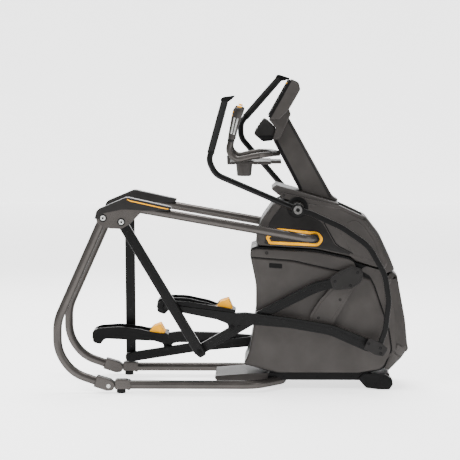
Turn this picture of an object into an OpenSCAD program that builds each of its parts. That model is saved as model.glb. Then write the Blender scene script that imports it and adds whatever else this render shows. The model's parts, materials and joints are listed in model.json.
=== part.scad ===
// Elliptical trainer with overhead suspension rails, hanging arms, pedals and moving handlebars.
// X is forward, towards the console; Y is to the user's left; Z is up; millimetres.
// Outlines in the side plane are [x, z, corner radius]. A side is -1 (right) or 1 (left).

/* [Frame tubes] */
// Distance of the side frames from the middle plane
frame_y = 315; // [312:1:318]
// Radius of the rails and the rear pillars
tube_r = 23; // [20:1:24]
// Radius of the two tubes on the floor
base_tube_r = 24; // [22:1:26]
// Height of the floor tubes' centre line
base_z = 45; // [44:1:48]

/* [Linkage] */
// Length of the crank arm between its centres
crank_len = 268; // [260:1:272]
// Direction of the right crank arm at rest, up from forward
crank_turn = 53.3; // [50:0.1:56]
// Length of the hanging suspension arm
hanger_len = 805; // [800:1:810]
// Length of the link arm from its rear pin to the crank pin
link_len = 892; // [888:1:896]
// Distance of the pedal pivot along the link arm
pedal_along = 210; // [205:1:215]
// Height of the pedal pivot above the link arm's line
pedal_above = 40; // [38:1:42]
// Length of the handlebar lever below its hub
lever_len = 851; // [846:1:856]
// Length of the pedal arm from its pivot to the lever pin
pedal_len = 782; // [778:1:786]

/* [Housing] */
// Half width of the lower housing
shell_y = 196; // [190:1:197]
// Half width of the upper panels
panel_y = 185; // [180:1:190]
// Wall thickness of the moulded covers
wall = 4; // [3:0.5:5]

/* [Contact pieces] */
// Width of a footplate
plate_w = 172; // [160:1:172]
// Radius of a moving handlebar grip
grip_r = 18; // [16:0.5:19]
// Radius of a transport wheel
wheel_r = 34; // [32:0.5:35]
// Inside radius of a cup holder
cup_r = 41; // [38:1:42]

/* [Hidden] */
// Moves the working origin to the middle of the overall length
mid_x = 18;
hanger_top = [-600, 915];
crank_at = [455, 395];
hub_at = [331, 981];
pillar_top = [-697, 936];
knuckle_at = [-672, 41];
wheel_at = [811, 36];
wheel_y = 172;
bore_gap = 0.05;
// Layers outwards from the middle plane
crank_in = 200;
crank_out = 222;
cover_out = 229;
link_in = 231;
link_out = 261;
pedal_in = 265;
pedal_out = 295;
hanger_in = 299;
hanger_out = 331;
lever_in = 342;
lever_out = 362;

function unit(v) = v / norm(v);
function dir(a) = [cos(a), sin(a)];
function angle_of(v) = atan2(v.y, v.x);
function turned(p, a) = [p.x * cos(a) - p.y * sin(a), p.x * sin(a) + p.y * cos(a)];

// Where circles about a and b meet, on the side that s picks
function meet(a, ra, b, rb, s) =
  let (d = norm(b - a), u = (b - a) / d, k = (ra * ra - rb * rb + d * d) / (2 * d))
  a + k * u + s * sqrt(ra * ra - k * k) * [-u.y, u.x];

// The linkage, solved for one side at rest
function crank_pin(s) = crank_at + crank_len * dir(crank_turn + (s > 0 ? 180 : 0));
function rear_pin(s) = meet(hanger_top, hanger_len, crank_pin(s), link_len, -1);
function link_angle(s) = angle_of(crank_pin(s) - rear_pin(s));
function pedal_pivot(s) = rear_pin(s) + turned([pedal_along, pedal_above], link_angle(s));
function lever_pin(s) = meet(pedal_pivot(s), pedal_len, hub_at, lever_len, -1);
function pedal_angle(s) = angle_of(lever_pin(s) - pedal_pivot(s));
function lever_angle(s) = angle_of(lever_pin(s) - hub_at);
function hanger_angle(s) = angle_of(rear_pin(s) - hanger_top);

// A corner at b between a and c, as an arc of radius r in n steps; works in two or three dimensions
function corner(a, b, c, r, n) =
  let (
    u = unit(a - b), v = unit(c - b),
    half = acos(max(-1, min(1, u * v))) / 2
  )
  (r <= 0 || half > 89.5) ? [b] :
  let (
    reach = min(r / tan(half), norm(a - b) * 0.499, norm(c - b) * 0.499),
    arc_r = reach * tan(half),
    out = unit(u + v),
    centre = b + out * arc_r / sin(half),
    across = unit(v - u)
  )
  [for (i = [0:n]) let (t = (90 - half) * (2 * i / n - 1))
    centre - out * arc_r * cos(t) + across * arc_r * sin(t)];
function outline(p, n = 6) =
  let (m = len(p), q = [for (e = p) [e.x, e.y]])
  [for (i = [0:m - 1]) each corner(q[(i + m - 1) % m], q[i], q[(i + 1) % m], p[i][2], n)];
function route(p, r, n = 8) =
  let (m = len(p))
  [p[0], for (i = [1:m - 2]) each corner(p[i - 1], p[i], p[i + 1], is_list(r) ? r[i] : r, n), p[m - 1]];
// An outline moved inwards by t; the outline runs anticlockwise
function inset(p, t) =
  let (m = len(p))
  [for (i = [0:m - 1]) let (
    d1 = unit(p[i] - p[(i + m - 1) % m]), d2 = unit(p[(i + 1) % m] - p[i]),
    n1 = [-d1.y, d1.x], n2 = [-d2.y, d2.x], n = unit(n1 + n2)
  ) p[i] + n * t / max(0.5, n * n1)];
// The same, then moved, so that the cover it hollows stays open on that side
function core(p, t, move) = [for (e = inset(p, t)) e + move];
function round_section(rx, rz, n) = [for (i = [0:n - 1]) [rx * cos(360 * i / n), rz * sin(360 * i / n)]];

// A flat plate in the side plane between two distances from the middle
module slab(points, y0, y1) {
  translate([0, max(y0, y1), 0]) rotate([90, 0, 0]) linear_extrude(abs(y1 - y0)) polygon(points);
}
module side_slab(points, s, a, b) slab(points, s * a, s * b);
// A round bar along Y
module rod(at, y0, y1, r) {
  translate([at.x, max(y0, y1), at.y]) rotate([90, 0, 0]) cylinder(r = r, h = abs(y1 - y0), $fn = 64);
}
module side_rod(at, s, a, b, r) rod(at, s * a, s * b, r);
// A section swept along a path that lies in the plane square to up
module sweep(path, up, section) {
  m = len(path);
  n = len(section);
  tangents = [for (i = [0:m - 1]) unit(path[min(i + 1, m - 1)] - path[max(i - 1, 0)])];
  points = [for (i = [0:m - 1]) let (side = unit(cross(up, tangents[i])))
    for (e = section) path[i] + e.x * side + e.y * up];
  walls = [for (i = [0:m - 2], j = [0:n - 1]) let (a = i * n + j, b = i * n + (j + 1) % n)
    each [[a, a + n, b], [b, a + n, b + n]]];
  first = [for (j = [0:n - 1]) j];
  last = [for (j = [n - 1:-1:0]) (m - 1) * n + j];
  polyhedron(points = points, faces = concat(walls, [first, last]), convexity = 8);
}
module side_sweep(path, r, s, y, n = 24) {
  sweep([for (p = path) [p.x, s * y, p.y]], [0, 1, 0], round_section(r, r, n));
}
// A hollow half shell, open towards the middle plane
module half_shell(points, s, half_w) {
  difference() {
    side_slab(points, s, 2, half_w);
    side_slab(inset(points, wall), s, -1, half_w - wall);
  }
}

// ---- Base frame ----
spine = outline([[200, 47, 6], [699.6, 47, 6], [699.6, 84, 6], [200, 84, 6]]);
crank_post = outline([[420, 84, 0], [500, 84, 0], [490, 360, 10], [490, 430, 30], [420, 430, 30], [420, 360, 10]]);
lever_post = [[300, 84], [350, 84], [380, 560], [352, 940], [310, 940], [330, 560]];
module main_frame() color("dimgray") difference() {
  union() {
    slab(spine, -55, 55);
    for (s = [-1, 1]) {
      side_slab(crank_post, s, 34, 54);
      side_slab(lever_post, s, 62, 82);
      side_slab([[300, 47], [350, 47], [350, 84], [300, 84]], s, 55, 82);
    }
    slab([[352, 700], [372, 700], [366, 730], [352, 730]], -82, 82);
  }
  rod(crank_at, -60, 60, 26);
}
module base_tube(s) {
  path = [[-575, s * frame_y, base_z], [110, s * frame_y, base_z], [250, s * 140, base_z], [250, s * 55.4, base_z]];
  sweep(route(path, [0, 150, 60, 0], 6), [0, 0, 1], round_section(base_tube_r, base_tube_r * 0.96, 20));
}
module base_tubes() color("dimgray") for (s = [-1, 1]) base_tube(s);
cross_tube_y = 145.5;
module front_cross_tube() color("dimgray")
  slab(outline([[700, 30, 6], [832, 30, 6], [832, 84, 12], [700, 84, 12]]), -cross_tube_y, cross_tube_y);
module rear_tees() color("dimgray") for (s = [-1, 1]) {
  side_slab(outline([[-637, 22, 10], [-575.3, 22, 4], [-575.3, 76, 8], [-637, 76, 12]]), s, frame_y - 27, frame_y + 27);
}
module rubber_feet() color("black") {
  for (s = [-1, 1]) {
    translate([-606, s * frame_y, 0]) cylinder(r1 = 22, r2 = 25, h = 21.7, $fn = 48);
    translate([-44, s * 120, 0]) cylinder(r = 30, h = 39.7, $fn = 48);
    translate([727, s * 120, 0]) cylinder(r = 24, h = 12, $fn = 48);
    translate([727, s * 120, 12]) cylinder(r = 8, h = 17.7, $fn = 32);
  }
}
platform = outline([[-118, 67, 8], [-100, 42, 8], [196, 42, 0], [196, 86, 0], [42, 80, 40]]);
module platform_cover() color("dimgray") difference() {
  slab(platform, -165, 165);
  slab(core(platform, wall, [0, -3 * wall]), -165 + wall, 165 - wall);
}

// ---- Housing ----
// Passages for the frame's posts and the lift through the walls between the upper and lower housings
module passages() {
  slab([[380, 620], [640, 620], [640, 800], [380, 800]], 15, 63);
  for (s = [-1, 1]) side_slab([[296, 735], [392, 735], [392, 795], [296, 795]], s, 58, 86);
}
lower_side = outline([
  [218, 87, 10], [665, 87, 10], [800, 110, 60], [862, 220, 80], [850, 430, 300], [800, 640, 60], [641, 688, 20],
  [609, 715, 40], [429, 755, 300], [110, 773, 8], [84, 764, 10], [78, 727, 30], [110, 571, 300], [110, 422, 300],
  [76, 205, 300], [43, 136, 12], [94, 124, 20]
], 8);
module lower_shell(s) color("dimgray") difference() {
  half_shell(lower_side, s, shell_y);
  side_rod(crank_at, s, shell_y - 2 * wall, shell_y + wall, 20);
  side_slab([[225, 80], [650, 80], [650, 95], [225, 95]], s, -5, 150);
  passages();
}
upper_side = outline([
  [125, 776.5, 0], [429, 758.5, 300], [611, 718.5, 40], [645, 691, 10], [796, 646, 10], [815, 682, 20], [757, 822, 80],
  [684, 918, 80], [556, 978, 60], [520, 985, 10], [240, 1020, 10], [200, 1000, 60], [133, 906, 200], [107, 802, 60]
], 8);
slot_cut = outline([[150, 782, 8], [450, 782, 36], [478, 822, 30], [450, 856, 36], [210, 872, 20], [165, 868, 8]]);
slot_open = outline([[163, 794, 6], [438, 794, 24], [464, 822, 20], [440, 844, 24], [210, 860, 12], [177, 857, 6]]);
module upper_panel(s) color([0.22, 0.22, 0.22]) difference() {
  half_shell(upper_side, s, panel_y);
  side_slab(slot_cut, s, 100, panel_y + 10);
  side_rod(hub_at, s, panel_y - 2 * wall, panel_y + wall, 30);
  passages();
}
module slot_bezels() color("gold") for (s = [-1, 1]) difference() {
  side_slab(inset(slot_cut, 0.3), s, panel_y - 9, panel_y + 5);
  side_slab(slot_open, s, panel_y - 12, panel_y + 7);
}
cowl = outline([[190, 1079, 6], [236, 1042, 60], [560, 981, 0], [551, 1001, 6], [338, 1066, 20], [218, 1100, 6]]);
cowl_y = 168;
module top_cowl() color("dimgray") difference() {
  slab(cowl, -cowl_y, cowl_y);
  slab(core(cowl, wall, [0, -3 * wall]), -cowl_y + wall, cowl_y - wall);
}
front_lower = outline([
  [822, 94, 10], [895, 171, 40], [928, 216, 24], [904, 374, 200], [883, 486, 200], [846, 625, 20], [806, 640, 20],
  [852, 436, 300], [866, 220, 80], [812, 112, 60]
], 8);
inlet_at = [896, 60, 196];
module lower_front_cover() color("dimgray") difference() {
  slab(front_lower, -160, 160);
  slab(core(front_lower, wall, [-3 * wall, 0]), -160 + wall, 160 - wall);
  translate(inlet_at + [20, 0, 0]) cube([66, 45, 37], center = true);
}
front_upper = outline([[848, 631, 4], [822, 684, 20], [762, 826, 60], [690, 918, 60], [703, 880, 20],
  [760, 800, 80], [808, 676, 30], [808, 645, 4]], 6);
module upper_front_cover() color([0.22, 0.22, 0.22]) for (s = [-1, 1]) difference() {
  side_slab([for (p = inset(front_upper, 0.5)) p + [14, 6]], s, 0, 150);
  half_shell(upper_side, s, panel_y + 1);
  side_slab(upper_side, s, -1, panel_y + 1);
}
module power_inlet() color("black") difference() {
  translate(inlet_at) cube([24, 44, 36], center = true);
  translate(inlet_at + [8, 0, 0]) cube([20, 32, 24], center = true);
}

// ---- Mast, console and fixed handles ----
mast_side = outline([[343, 1066, 4], [534, 1008, 4], [560, 1012, 30], [524, 1030, 60], [287, 1454, 30],
  [288, 1498, 10], [236, 1449, 4], [186, 1449, 4], [218, 1402, 6], [203, 1332, 6], [330, 1090, 60]]);
mast_core = [[354, 1040], [512, 985], [512, 1036], [283, 1442], [246, 1431], [212, 1334], [338, 1094]];
module mast() color("dimgray") difference() {
  slab(mast_side, -70, 70);
  slab(mast_core, -64, 64);
}
console_side = outline([[295, 1666, 12], [270, 1618, 6], [190, 1480, 6], [176, 1452, 10], [232, 1452, 10],
  [285, 1506, 30], [345, 1611, 14], [335, 1648, 14]]);
module console_shell() color([0.16, 0.16, 0.16]) difference() {
  slab(console_side, -222, 222);
  slab(core(console_side, wall, [-4 * wall, 0]), -222 + wall, 222 - wall);
}
module screen() color("black") {
  slab([[268, 1620], [270.5, 1618.6], [188.5, 1476.6], [186, 1478]], -205, 205);
}
pod = outline([[150, 1455, 8], [95, 1371, 14], [143, 1331, 14], [200, 1336, 8], [214, 1400, 10], [172, 1442, 6]]);
module keypad_pod() color([0.16, 0.16, 0.16]) {
  slab(pod, -86, -71);
  slab(pod, 71, 86);
  slab(outline([[150, 1455, 8], [95, 1371, 14], [143, 1331, 14], [186, 1326, 2], [186, 1400, 2], [162, 1440, 4]]), -70.6, 70.6);
}
bar_r = 16;
handle_y = 230;
handle_top = [16, 1494];
handle_bend = [-23, 1341];
handle_lean = 14.3;
module at_handle_top(s) translate([handle_top.x, s * handle_y, handle_top.y]) rotate([0, handle_lean, 0]) children();
module fixed_handle(s) {
  at_handle_top(s) difference() {
    translate([0, 0, 0.3]) cylinder(r = 20, h = 33.7, $fn = 64);
    translate([0, 0, 28]) cylinder(r = 9.4, h = 10, $fn = 64);
  }
  path = [handle_top, handle_bend, [-38, 1282], [4, 1236], [80, 1254], [150, 1266]];
  lower = [for (p = route(path, [0, 60, 50, 50, 60, 0])) [p.x, s * handle_y, p.y]];
  arm = [[150, s * handle_y, 1266], [192, s * handle_y, 1266], [224, s * 74, 1266]];
  sweep(lower, [0, 1, 0], round_section(bar_r, bar_r, 20));
  sweep(route(arm, [0, 40, 0], 6), [0, 0, 1], round_section(bar_r, bar_r, 20));
}
module grip_frame() color("dimgray") for (s = [-1, 1]) fixed_handle(s);
function on_handle(s, d) = let (p = handle_top + d * unit(handle_bend - handle_top)) [p.x, s * handle_y, p.y];
module grip_sensors() color("silver") for (s = [-1, 1]) difference() {
  sweep([on_handle(s, 36), on_handle(s, 150)], [0, 1, 0], round_section(bar_r + 3.5, bar_r + 3.5, 24));
  sweep([on_handle(s, -60), on_handle(s, 240)], [0, 1, 0], round_section(bar_r + 0.4, bar_r + 0.4, 24));
}
cup_y = 150;
module cup(s) translate([46, s * cup_y, 1148]) children();
module cup_tray() color([0.2, 0.2, 0.2]) difference() {
  union() {
    for (s = [-1, 1]) cup(s) cylinder(r = cup_r + wall, h = 78, $fn = 64);
    slab(outline([[-44, 1211, 6], [245, 1211, 0], [245, 1227, 0], [-30, 1227, 4], [-34, 1258, 4], [-46, 1258, 4]]), -50, 50);
    for (s = [-1, 1]) side_slab(outline([[-44, 1211, 6], [190, 1211, 6], [190, 1227, 4], [-30, 1227, 4],
      [-34, 1258, 4], [-46, 1258, 4]]), s, 49, 196);
  }
  for (s = [-1, 1]) cup(s) translate([0, 0, wall]) cylinder(r = cup_r, h = 90, $fn = 64);
}

// ---- Fixed parts of the drive ----
hub_in = 310;
module lever_axle() color("silver") difference() {
  union() {
    rod(hub_at, -lever_out - 2, lever_out + 2, 14);
    for (s = [-1, 1]) side_rod(hub_at, s, panel_y + 2, hub_in - 0.5, 26);
  }
  rod(hub_at, -400, 400, 6);
}
module crank_bearings() color("silver") for (s = [-1, 1]) difference() {
  side_rod(crank_at, s, 34, 54, 26);
  side_rod(crank_at, s, 30, 60, 15 + bore_gap);
}
module drive_belt() color("black") difference() {
  slab(belt_shape(154, 43), -14, 14);
  slab(belt_shape(150.4, 39.4), -16, 16);
}
spin_at = [740, 330];
// The loop of a belt round two wheels
function belt_shape(r1, r2) =
  let (d = spin_at - crank_at, a = angle_of(d), t = acos((r1 - r2) / norm(d)))
  concat([for (i = [0:48]) crank_at + r1 * dir(a + t + (360 - 2 * t) * i / 48)],
    [for (i = [0:12]) spin_at + r2 * dir(a - t + 2 * t * i / 12)]);
module drive_pulley() color("gray") difference() {
  union() {
    rod(crank_at, -12, 12, 150);
    rod(crank_at, -30, 30, 34);
  }
  rod(crank_at, -40, 40, 15);
  for (i = [0:5]) rod(crank_at + 88 * dir(60 * i), -20, 20, 30);
}
module flywheel() color("silver") difference() {
  union() {
    rod(spin_at, -12, 12, 39);
    rod(spin_at, -40, -14, 92);
    rod(spin_at, -14, 44, 18);
  }
  rod(spin_at, -50, 50, 8);
}
module lift_actuator() color("gray") {
  slab(outline([[385, 730, 10], [600, 640, 14], [624, 694, 14], [412, 786, 10]]), 20, 58);
  side_slab(outline([[416, 788, 4], [430, 782, 4], [452, 834, 4], [438, 840, 4]]), 1, 20, 58);
}

// ---- Overhead frame ----
rail_rear = [-520, 985.6];
rail_front = [424, 819];
module rail(s) color("dimgray") {
  across = [0, s, 0];
  along = unit([rail_front.x - rail_rear.x, 0, rail_front.y - rail_rear.y]);
  turn_at = [rail_front.x, s * frame_y, rail_front.y];
  path = [[rail_rear.x, s * frame_y, rail_rear.y], turn_at, turn_at - across * 190];
  sweep(route(path, [0, 70, 0], 10), unit(cross(along, across)) * s, round_section(tube_r, tube_r, 24));
}
plate = outline([[-735, 934, 20], [-722, 900, 30], [-661, 880, 60], [-600, 878, 40], [-556, 903, 40], [-488, 972, 14],
  [-420.4, 966, 4], [-420.4, 986, 4], [-560, 1012, 20], [-690, 978, 20]]);
plate_out = 29;
module brackets() color("dimgray") for (s = [-1, 1]) difference() {
  union() {
    side_slab(plate, s, frame_y + tube_r + 0.5, frame_y + plate_out);
    side_slab(plate, s, frame_y - plate_out, frame_y - tube_r - 0.5);
  }
  for (p = [pillar_top, hanger_top]) side_rod(p, s, frame_y - 40, frame_y + 40, 10 + bore_gap);
}
cover = outline([[-741, 931, 4], [-732, 970, 8], [-720, 984, 20], [-579, 1044, 24], [-560, 1044, 10],
  [-338, 995, 8], [-336, 984, 6], [-352, 974, 10], [-480, 976, 40], [-590, 982, 120], [-700, 960, 60], [-712, 932, 6]]);
module bracket_covers() color([0.2, 0.2, 0.2]) for (s = [-1, 1]) difference() {
  side_slab(cover, s, frame_y - 34, frame_y + 34);
  side_slab([[-760, 860], [-760, 963], [-700, 990], [-560, 1019], [-418, 996], [-416, 860]], s,
    frame_y - plate_out - 0.4, frame_y + plate_out + 0.4);
  side_slab([[-419, 1000], [-420, 940], [-300, 900], [-300, 985]], s, frame_y - 24, frame_y + 24);
  for (p = [pillar_top, hanger_top]) side_rod(p, s, frame_y - 40, frame_y + 40, 19);
}
// The pillar's bends, from the top down to its knuckle
pillar_bend = [[-944, 385], [-944, 225], [-865, 108], [-734, 62]];
module pillar(s) color("dimgray") {
  lean = unit(pillar_top - pillar_bend[0]);
  top = pillar_top - lean * 24;
  side_sweep(route(concat([top], pillar_bend), [0, 240, 210, 200, 0], 10), tube_r, s, frame_y);
  difference() {
    side_slab(outline([for (e = [[-26, -14], [26, -14], [22, 18], [-22, 18]])
      concat(pillar_top - lean * 14 + turned([e.x, e.y + 8], -24.2), [12])]), s, frame_y - 18, frame_y + 18);
    side_rod(pillar_top, s, frame_y - 20, frame_y + 20, 10.2);
    side_sweep([top - lean * 40, top + lean * 0.3], tube_r + 0.4, s, frame_y);
  }
}
fall = -17;
pillar_end = unit(pillar_bend[3] - pillar_bend[2]);
module knuckles() color("dimgray") for (s = [-1, 1]) difference() {
  side_slab(outline([for (e = [[-74, -33, 4], [0, -33, 30], [33, -20, 24], [33, 20, 24], [0, 33, 20], [-74, 33, 4]])
    concat(knuckle_at + [0, 4] + turned([e.x, e.y], fall), [e[2]])]), s, frame_y - 30, frame_y + 30);
  side_sweep([pillar_bend[3] - pillar_end * 60, pillar_bend[3] + pillar_end * 4], tube_r + 0.5, s, frame_y);
  side_rod(knuckle_at, s, frame_y - 40, frame_y + 40, 9);
  side_slab([[-637.4, 0], [-560, 0], [-560, 100], [-637.4, 100]], s, frame_y - 40, frame_y + 40);
}
module bolt(at, s, a, b, r, head_r) {
  side_rod(at, s, a, b, r);
  difference() {
    side_rod(at, s, b, b + 7, head_r);
    side_rod(at, s, b + 3, b + 8, head_r * 0.45);
  }
}
module pivot_bolts() color("silver") for (s = [-1, 1]) {
  for (p = [pillar_top, hanger_top]) bolt(p, s, frame_y - plate_out - 6, frame_y + plate_out + 0.3, 10, 17);
  bolt(knuckle_at, s, frame_y - 30, frame_y + 30.3, 9, 13);
}
module wheel_housings() color([0.16, 0.16, 0.16]) for (s = [-1, 1]) difference() {
  side_slab(outline([[703, 12, 8], [770, 3, 6], [828, 3, 10], [846, 30, 14], [842, 62, 24], [800, 86, 20],
    [690, 86, 10], [660, 60, 10], [690, 24, 10]]), s, wheel_y - 26, wheel_y + 26);
  side_rod(wheel_at, s, wheel_y - 19, wheel_y + 19, wheel_r + 4);
  side_slab([[wheel_at.x - 38, -5], [wheel_at.x + 60, -5], [wheel_at.x + 60, 36], [wheel_at.x - 38, 36]], s,
    wheel_y - 19, wheel_y + 19);
  side_rod(wheel_at, s, wheel_y - 40, wheel_y + 40, 6 + bore_gap);
}
shell_screws = [[125, 745], [150, 180], [300, 735], [600, 120], [800, 560]];
module screws() color("black") for (s = [-1, 1]) {
  for (p = shell_screws) side_rod(p, s, shell_y, shell_y + 1.6, 5);
}

// ---- Moving parts ----
module crank_arm(s) {
  a = crank_turn + (s > 0 ? 180 : 0);
  bar = outline([for (e = [[-40, -30, 26], [30, -38, 20], [crank_len + 24, -26, 22], [crank_len + 24, 26, 22],
    [30, 38, 20], [-40, 30, 26]]) concat(crank_at + turned([e.x, e.y], a), [e[2]])]);
  side_slab(bar, s, crank_in, crank_out - 8);
  side_rod(crank_pin(s), s, crank_out - 8, cover_out + 1.5, 11);
}
module crank_axle() color("silver") {
  rod(crank_at, -crank_in, crank_in, 15);
  for (s = [-1, 1]) crank_arm(s);
}
module crank_covers() color("dimgray") for (s = [-1, 1]) {
  a = crank_turn + (s > 0 ? 180 : 0);
  shape = outline([for (e = [[-62, -46, 44], [-40, -74, 44], [60, -70, 60], [crank_len + 16, -40, 36],
    [crank_len + 34, 0, 30], [crank_len + 10, 44, 36], [70, 60, 60], [-40, 52, 40]])
    concat(crank_at + turned([e.x, e.y], a), [e[2]])]);
  difference() {
    side_slab(shape, s, crank_out - 7.5, cover_out);
    side_rod(crank_pin(s), s, crank_out - 10, cover_out + 5, 11.3);
  }
}
module suspension_arm(s) color([0.15, 0.15, 0.15]) {
  a = hanger_angle(s);
  bar = outline([for (e = [[-27, -20, 18], [0, -27, 10], [hanger_len - 4, -27, 8], [hanger_len + 31, -14, 12],
    [hanger_len + 31, 24, 10], [hanger_len - 4, 27, 8], [0, 27, 10], [-27, 20, 18]])
    concat(hanger_top + turned([e.x, e.y], a), [e[2]])]);
  difference() {
    side_slab(bar, s, hanger_in, hanger_out);
    side_rod(hanger_top, s, hanger_in - 5, hanger_out + 5, 10 + bore_gap);
    side_rod(rear_pin(s), s, hanger_in - 5, hanger_out + 5, 9 + bore_gap);
  }
}
// The link arm bows up between its straight rear part and its level front part
module link_arm(s) color([0.15, 0.15, 0.15]) {
  at = rear_pin(s);
  a = link_angle(s);
  bar = outline([for (e = [[-27, -18, 18], [0, -27, 10], [380, 4, 500], [700, 9, 300], [link_len - 108, -8, 0],
    [link_len - 90, 42, 0], [700, 64, 300], [330, 52, 500], [0, 27, 20], [-27, 20, 18]])
    concat(at + turned([e.x, e.y], a), [e[2]])]);
  cap = outline([for (e = [[-112, -14, 10], [-88, -28, 16], [-20, -52, 30], [40, -44, 30], [66, -14, 30], [74, 20, 26],
    [30, 56, 40], [-40, 60, 60], [-104, 48, 16]])
    concat(crank_pin(s) + turned([e.x, e.y], a), [e[2]])]);
  side_slab(bar, s, link_in + 3, link_out - 3);
  side_slab(cap, s, link_in, link_out + 1);
  side_rod(at, s, link_out - 3, hanger_out + 6, 9);
  side_rod(at, s, hanger_out + 0.5, hanger_out + 6, 15);
  side_rod(pedal_pivot(s), s, link_in + 2, link_out - 2, 26);
  side_rod(pedal_pivot(s), s, link_out - 2, pedal_out + 3, 9);
  side_rod(pedal_pivot(s), s, pedal_out + 0.4, pedal_out + 3, 15);
}
// Places a point given along and across the pedal arm's line
function on_pedal(s, e) = pedal_pivot(s) + turned([e.x, e.y], pedal_angle(s));
function on_pedal_all(s, list) = [for (e = list) concat(on_pedal(s, e), [e[2]])];
module pedal_arm(s) color([0.2, 0.2, 0.2]) difference() {
  union() {
    side_slab(outline(on_pedal_all(s, [[-84, 30, 10], [-20, 14, 20], [-22, -16, 24], [22, -16, 24], [26, 18, 20], [60, 26, 60],
      [300, 38, 300], [520, 30, 300], [pedal_len - 60, -29, 100], [pedal_len + 20, -29, 20], [pedal_len + 20, 27, 20],
      [pedal_len - 40, 32, 60], [530, 84, 300], [300, 92, 300], [60, 88, 60], [8, 78, 10], [-374, 73, 6], [-374, 48, 6]])),
      s, pedal_in, pedal_out);
    side_rod(lever_pin(s), s, lever_out + 1, lever_out + 9.6, 30);
  }
  side_rod(pedal_pivot(s), s, pedal_in - 5, pedal_out + 5, 9 + bore_gap);
}
// The footplate's side views are drawn about the pedal pivot, then set back and down
foot_back = 14;
foot_drop = 18;
function on_foot(s, list) = on_pedal_all(s, [for (e = list) [e.x - foot_back, e.y - foot_drop, e[2]]]);
module footplate(s) color([0.18, 0.18, 0.18]) {
  y_in = pedal_in - 0.4 - plate_w + 30;
  rim = outline(on_foot(s, [[-398, 90, 12], [-392, 40, 16], [-350, 34, 12], [-330, 66, 30], [-20, 66, 20], [20, 97, 12],
    [20, 112, 10], [-60, 132, 120], [-250, 138, 200], [-360, 122, 40]]));
  well = outline(on_foot(s, [[-372, 100, 20], [-340, 96, 40], [-20, 99, 10], [0, 120, 10], [0, 160, 10], [-400, 170, 10]]));
  difference() {
    side_slab(rim, s, y_in, pedal_in - 0.4);
    side_slab(well, s, y_in + 8, pedal_in - 8.4);
  }
  side_slab(outline(on_foot(s, [[-398, 90, 12], [-392, 60, 16], [-362, 56, 8], [-361, 93, 4], [-30, 97, 4], [20, 97, 4],
    [20, 112, 10], [-60, 118, 120], [-250, 122, 200], [-366, 112, 30]])), s, pedal_in, pedal_out + 2);
}
module tread(s) color("black") {
  y_in = pedal_in - 0.4 - plate_w + 30;
  side_slab(outline(on_foot(s, [[-366, 99.4, 4], [-340, 98, 40], [-60, 101, 10], [-60, 106, 2], [-340, 103, 40],
    [-366, 104.4, 2]])), s, y_in + 10, pedal_in - 10.4);
}
module toe_wedge(s) color("gold") {
  y_in = pedal_in - 0.4 - plate_w + 30;
  shape = outline(on_foot(s, [[-58, 103, 2], [-27, 104, 2], [-8, 120, 2], [-8, 130, 4], [-28, 156, 6], [-36, 152, 4]]));
  difference() {
    side_slab(shape, s, y_in + 9, pedal_in - 9.4);
    side_slab(outline(on_foot(s, [[-46, 120, 2], [-14, 140, 2], [-30, 146, 2], [-60, 140, 2]])), s, y_in + 40, pedal_in - 40);
  }
}
// The lever's lower arm, as measured on the right side at rest, turned with its pin for the left
function lever_turn(s) = lever_angle(s) - lever_angle(-1);
function on_lever(s, p) = hub_at + turned(p - hub_at, lever_turn(s));
lower_arm = [[331, 981], [400, 962], [563, 888], [703, 792], [791, 637], [812, 500], [794, 344], [758, 245]];
module lever(s) color([0.15, 0.15, 0.15]) {
  path = route([for (p = lower_arm) on_lever(s, p)], [0, 80, 300, 200, 200, 200, 200, 0], 4);
  section = outline([[-14, -10, 4], [14, -10, 4], [14, 10, 4], [-14, 10, 4]], 2);
  difference() {
    union() {
      sweep([for (p = path) [p.x, s * (lever_in + lever_out) / 2, p.y]], [0, 1, 0], section);
      side_rod(lever_pin(s), s, lever_in, lever_out, 24);
      side_rod(hub_at, s, lever_in - 2, lever_out + 4, 33);
      side_rod(lever_pin(s), s, pedal_out + 3.4, lever_in, 11);
      side_sweep(route([for (p = [[331, 981], [262, 1009], [-104, 1166], [-138, 1240], [-125, 1290]])
        on_lever(s, p)], [0, 80, 90, 120, 0]), 16, s, 326);
      side_rod(hub_at, s, hub_in, lever_in, 30);
    }
    side_rod(hub_at, s, 300, lever_out + 10, 14 + bore_gap);
  }
}
module grip(s) color("black") {
  side_sweep([for (p = [[-124.8, 1290.6], [-52, 1560]]) on_lever(s, p)], grip_r, s, 326);
}
module wheel(s) color("black") {
  difference() {
    side_rod(wheel_at, s, wheel_y - 14, wheel_y + 14, wheel_r);
    side_rod(wheel_at, s, wheel_y - 15, wheel_y - 6, wheel_r - 9);
    side_rod(wheel_at, s, wheel_y + 6, wheel_y + 15, wheel_r - 9);
  }
  side_rod(wheel_at, s, wheel_y - 26, wheel_y + 26, 6);
}
module button(s) color("gold") {
  at_handle_top(s) translate([0, 0, 30]) cylinder(r = 9, h = 7, $fn = 48);
}

translate([mid_x, 0, 0]) main_frame();
translate([mid_x, 0, 0]) base_tubes();
translate([mid_x, 0, 0]) front_cross_tube();
translate([mid_x, 0, 0]) rear_tees();
translate([mid_x, 0, 0]) rubber_feet();
translate([mid_x, 0, 0]) platform_cover();
translate([mid_x, 0, 0]) lower_shell(-1);  // right_lower_shell
translate([mid_x, 0, 0]) lower_shell(1);  // left_lower_shell
translate([mid_x, 0, 0]) upper_panel(-1);  // right_upper_panel
translate([mid_x, 0, 0]) upper_panel(1);  // left_upper_panel
translate([mid_x, 0, 0]) top_cowl();
translate([mid_x, 0, 0]) upper_front_cover();
translate([mid_x, 0, 0]) lower_front_cover();
translate([mid_x, 0, 0]) slot_bezels();
translate([mid_x, 0, 0]) mast();
translate([mid_x, 0, 0]) console_shell();
translate([mid_x, 0, 0]) screen();
translate([mid_x, 0, 0]) keypad_pod();
translate([mid_x, 0, 0]) grip_frame();
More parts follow.
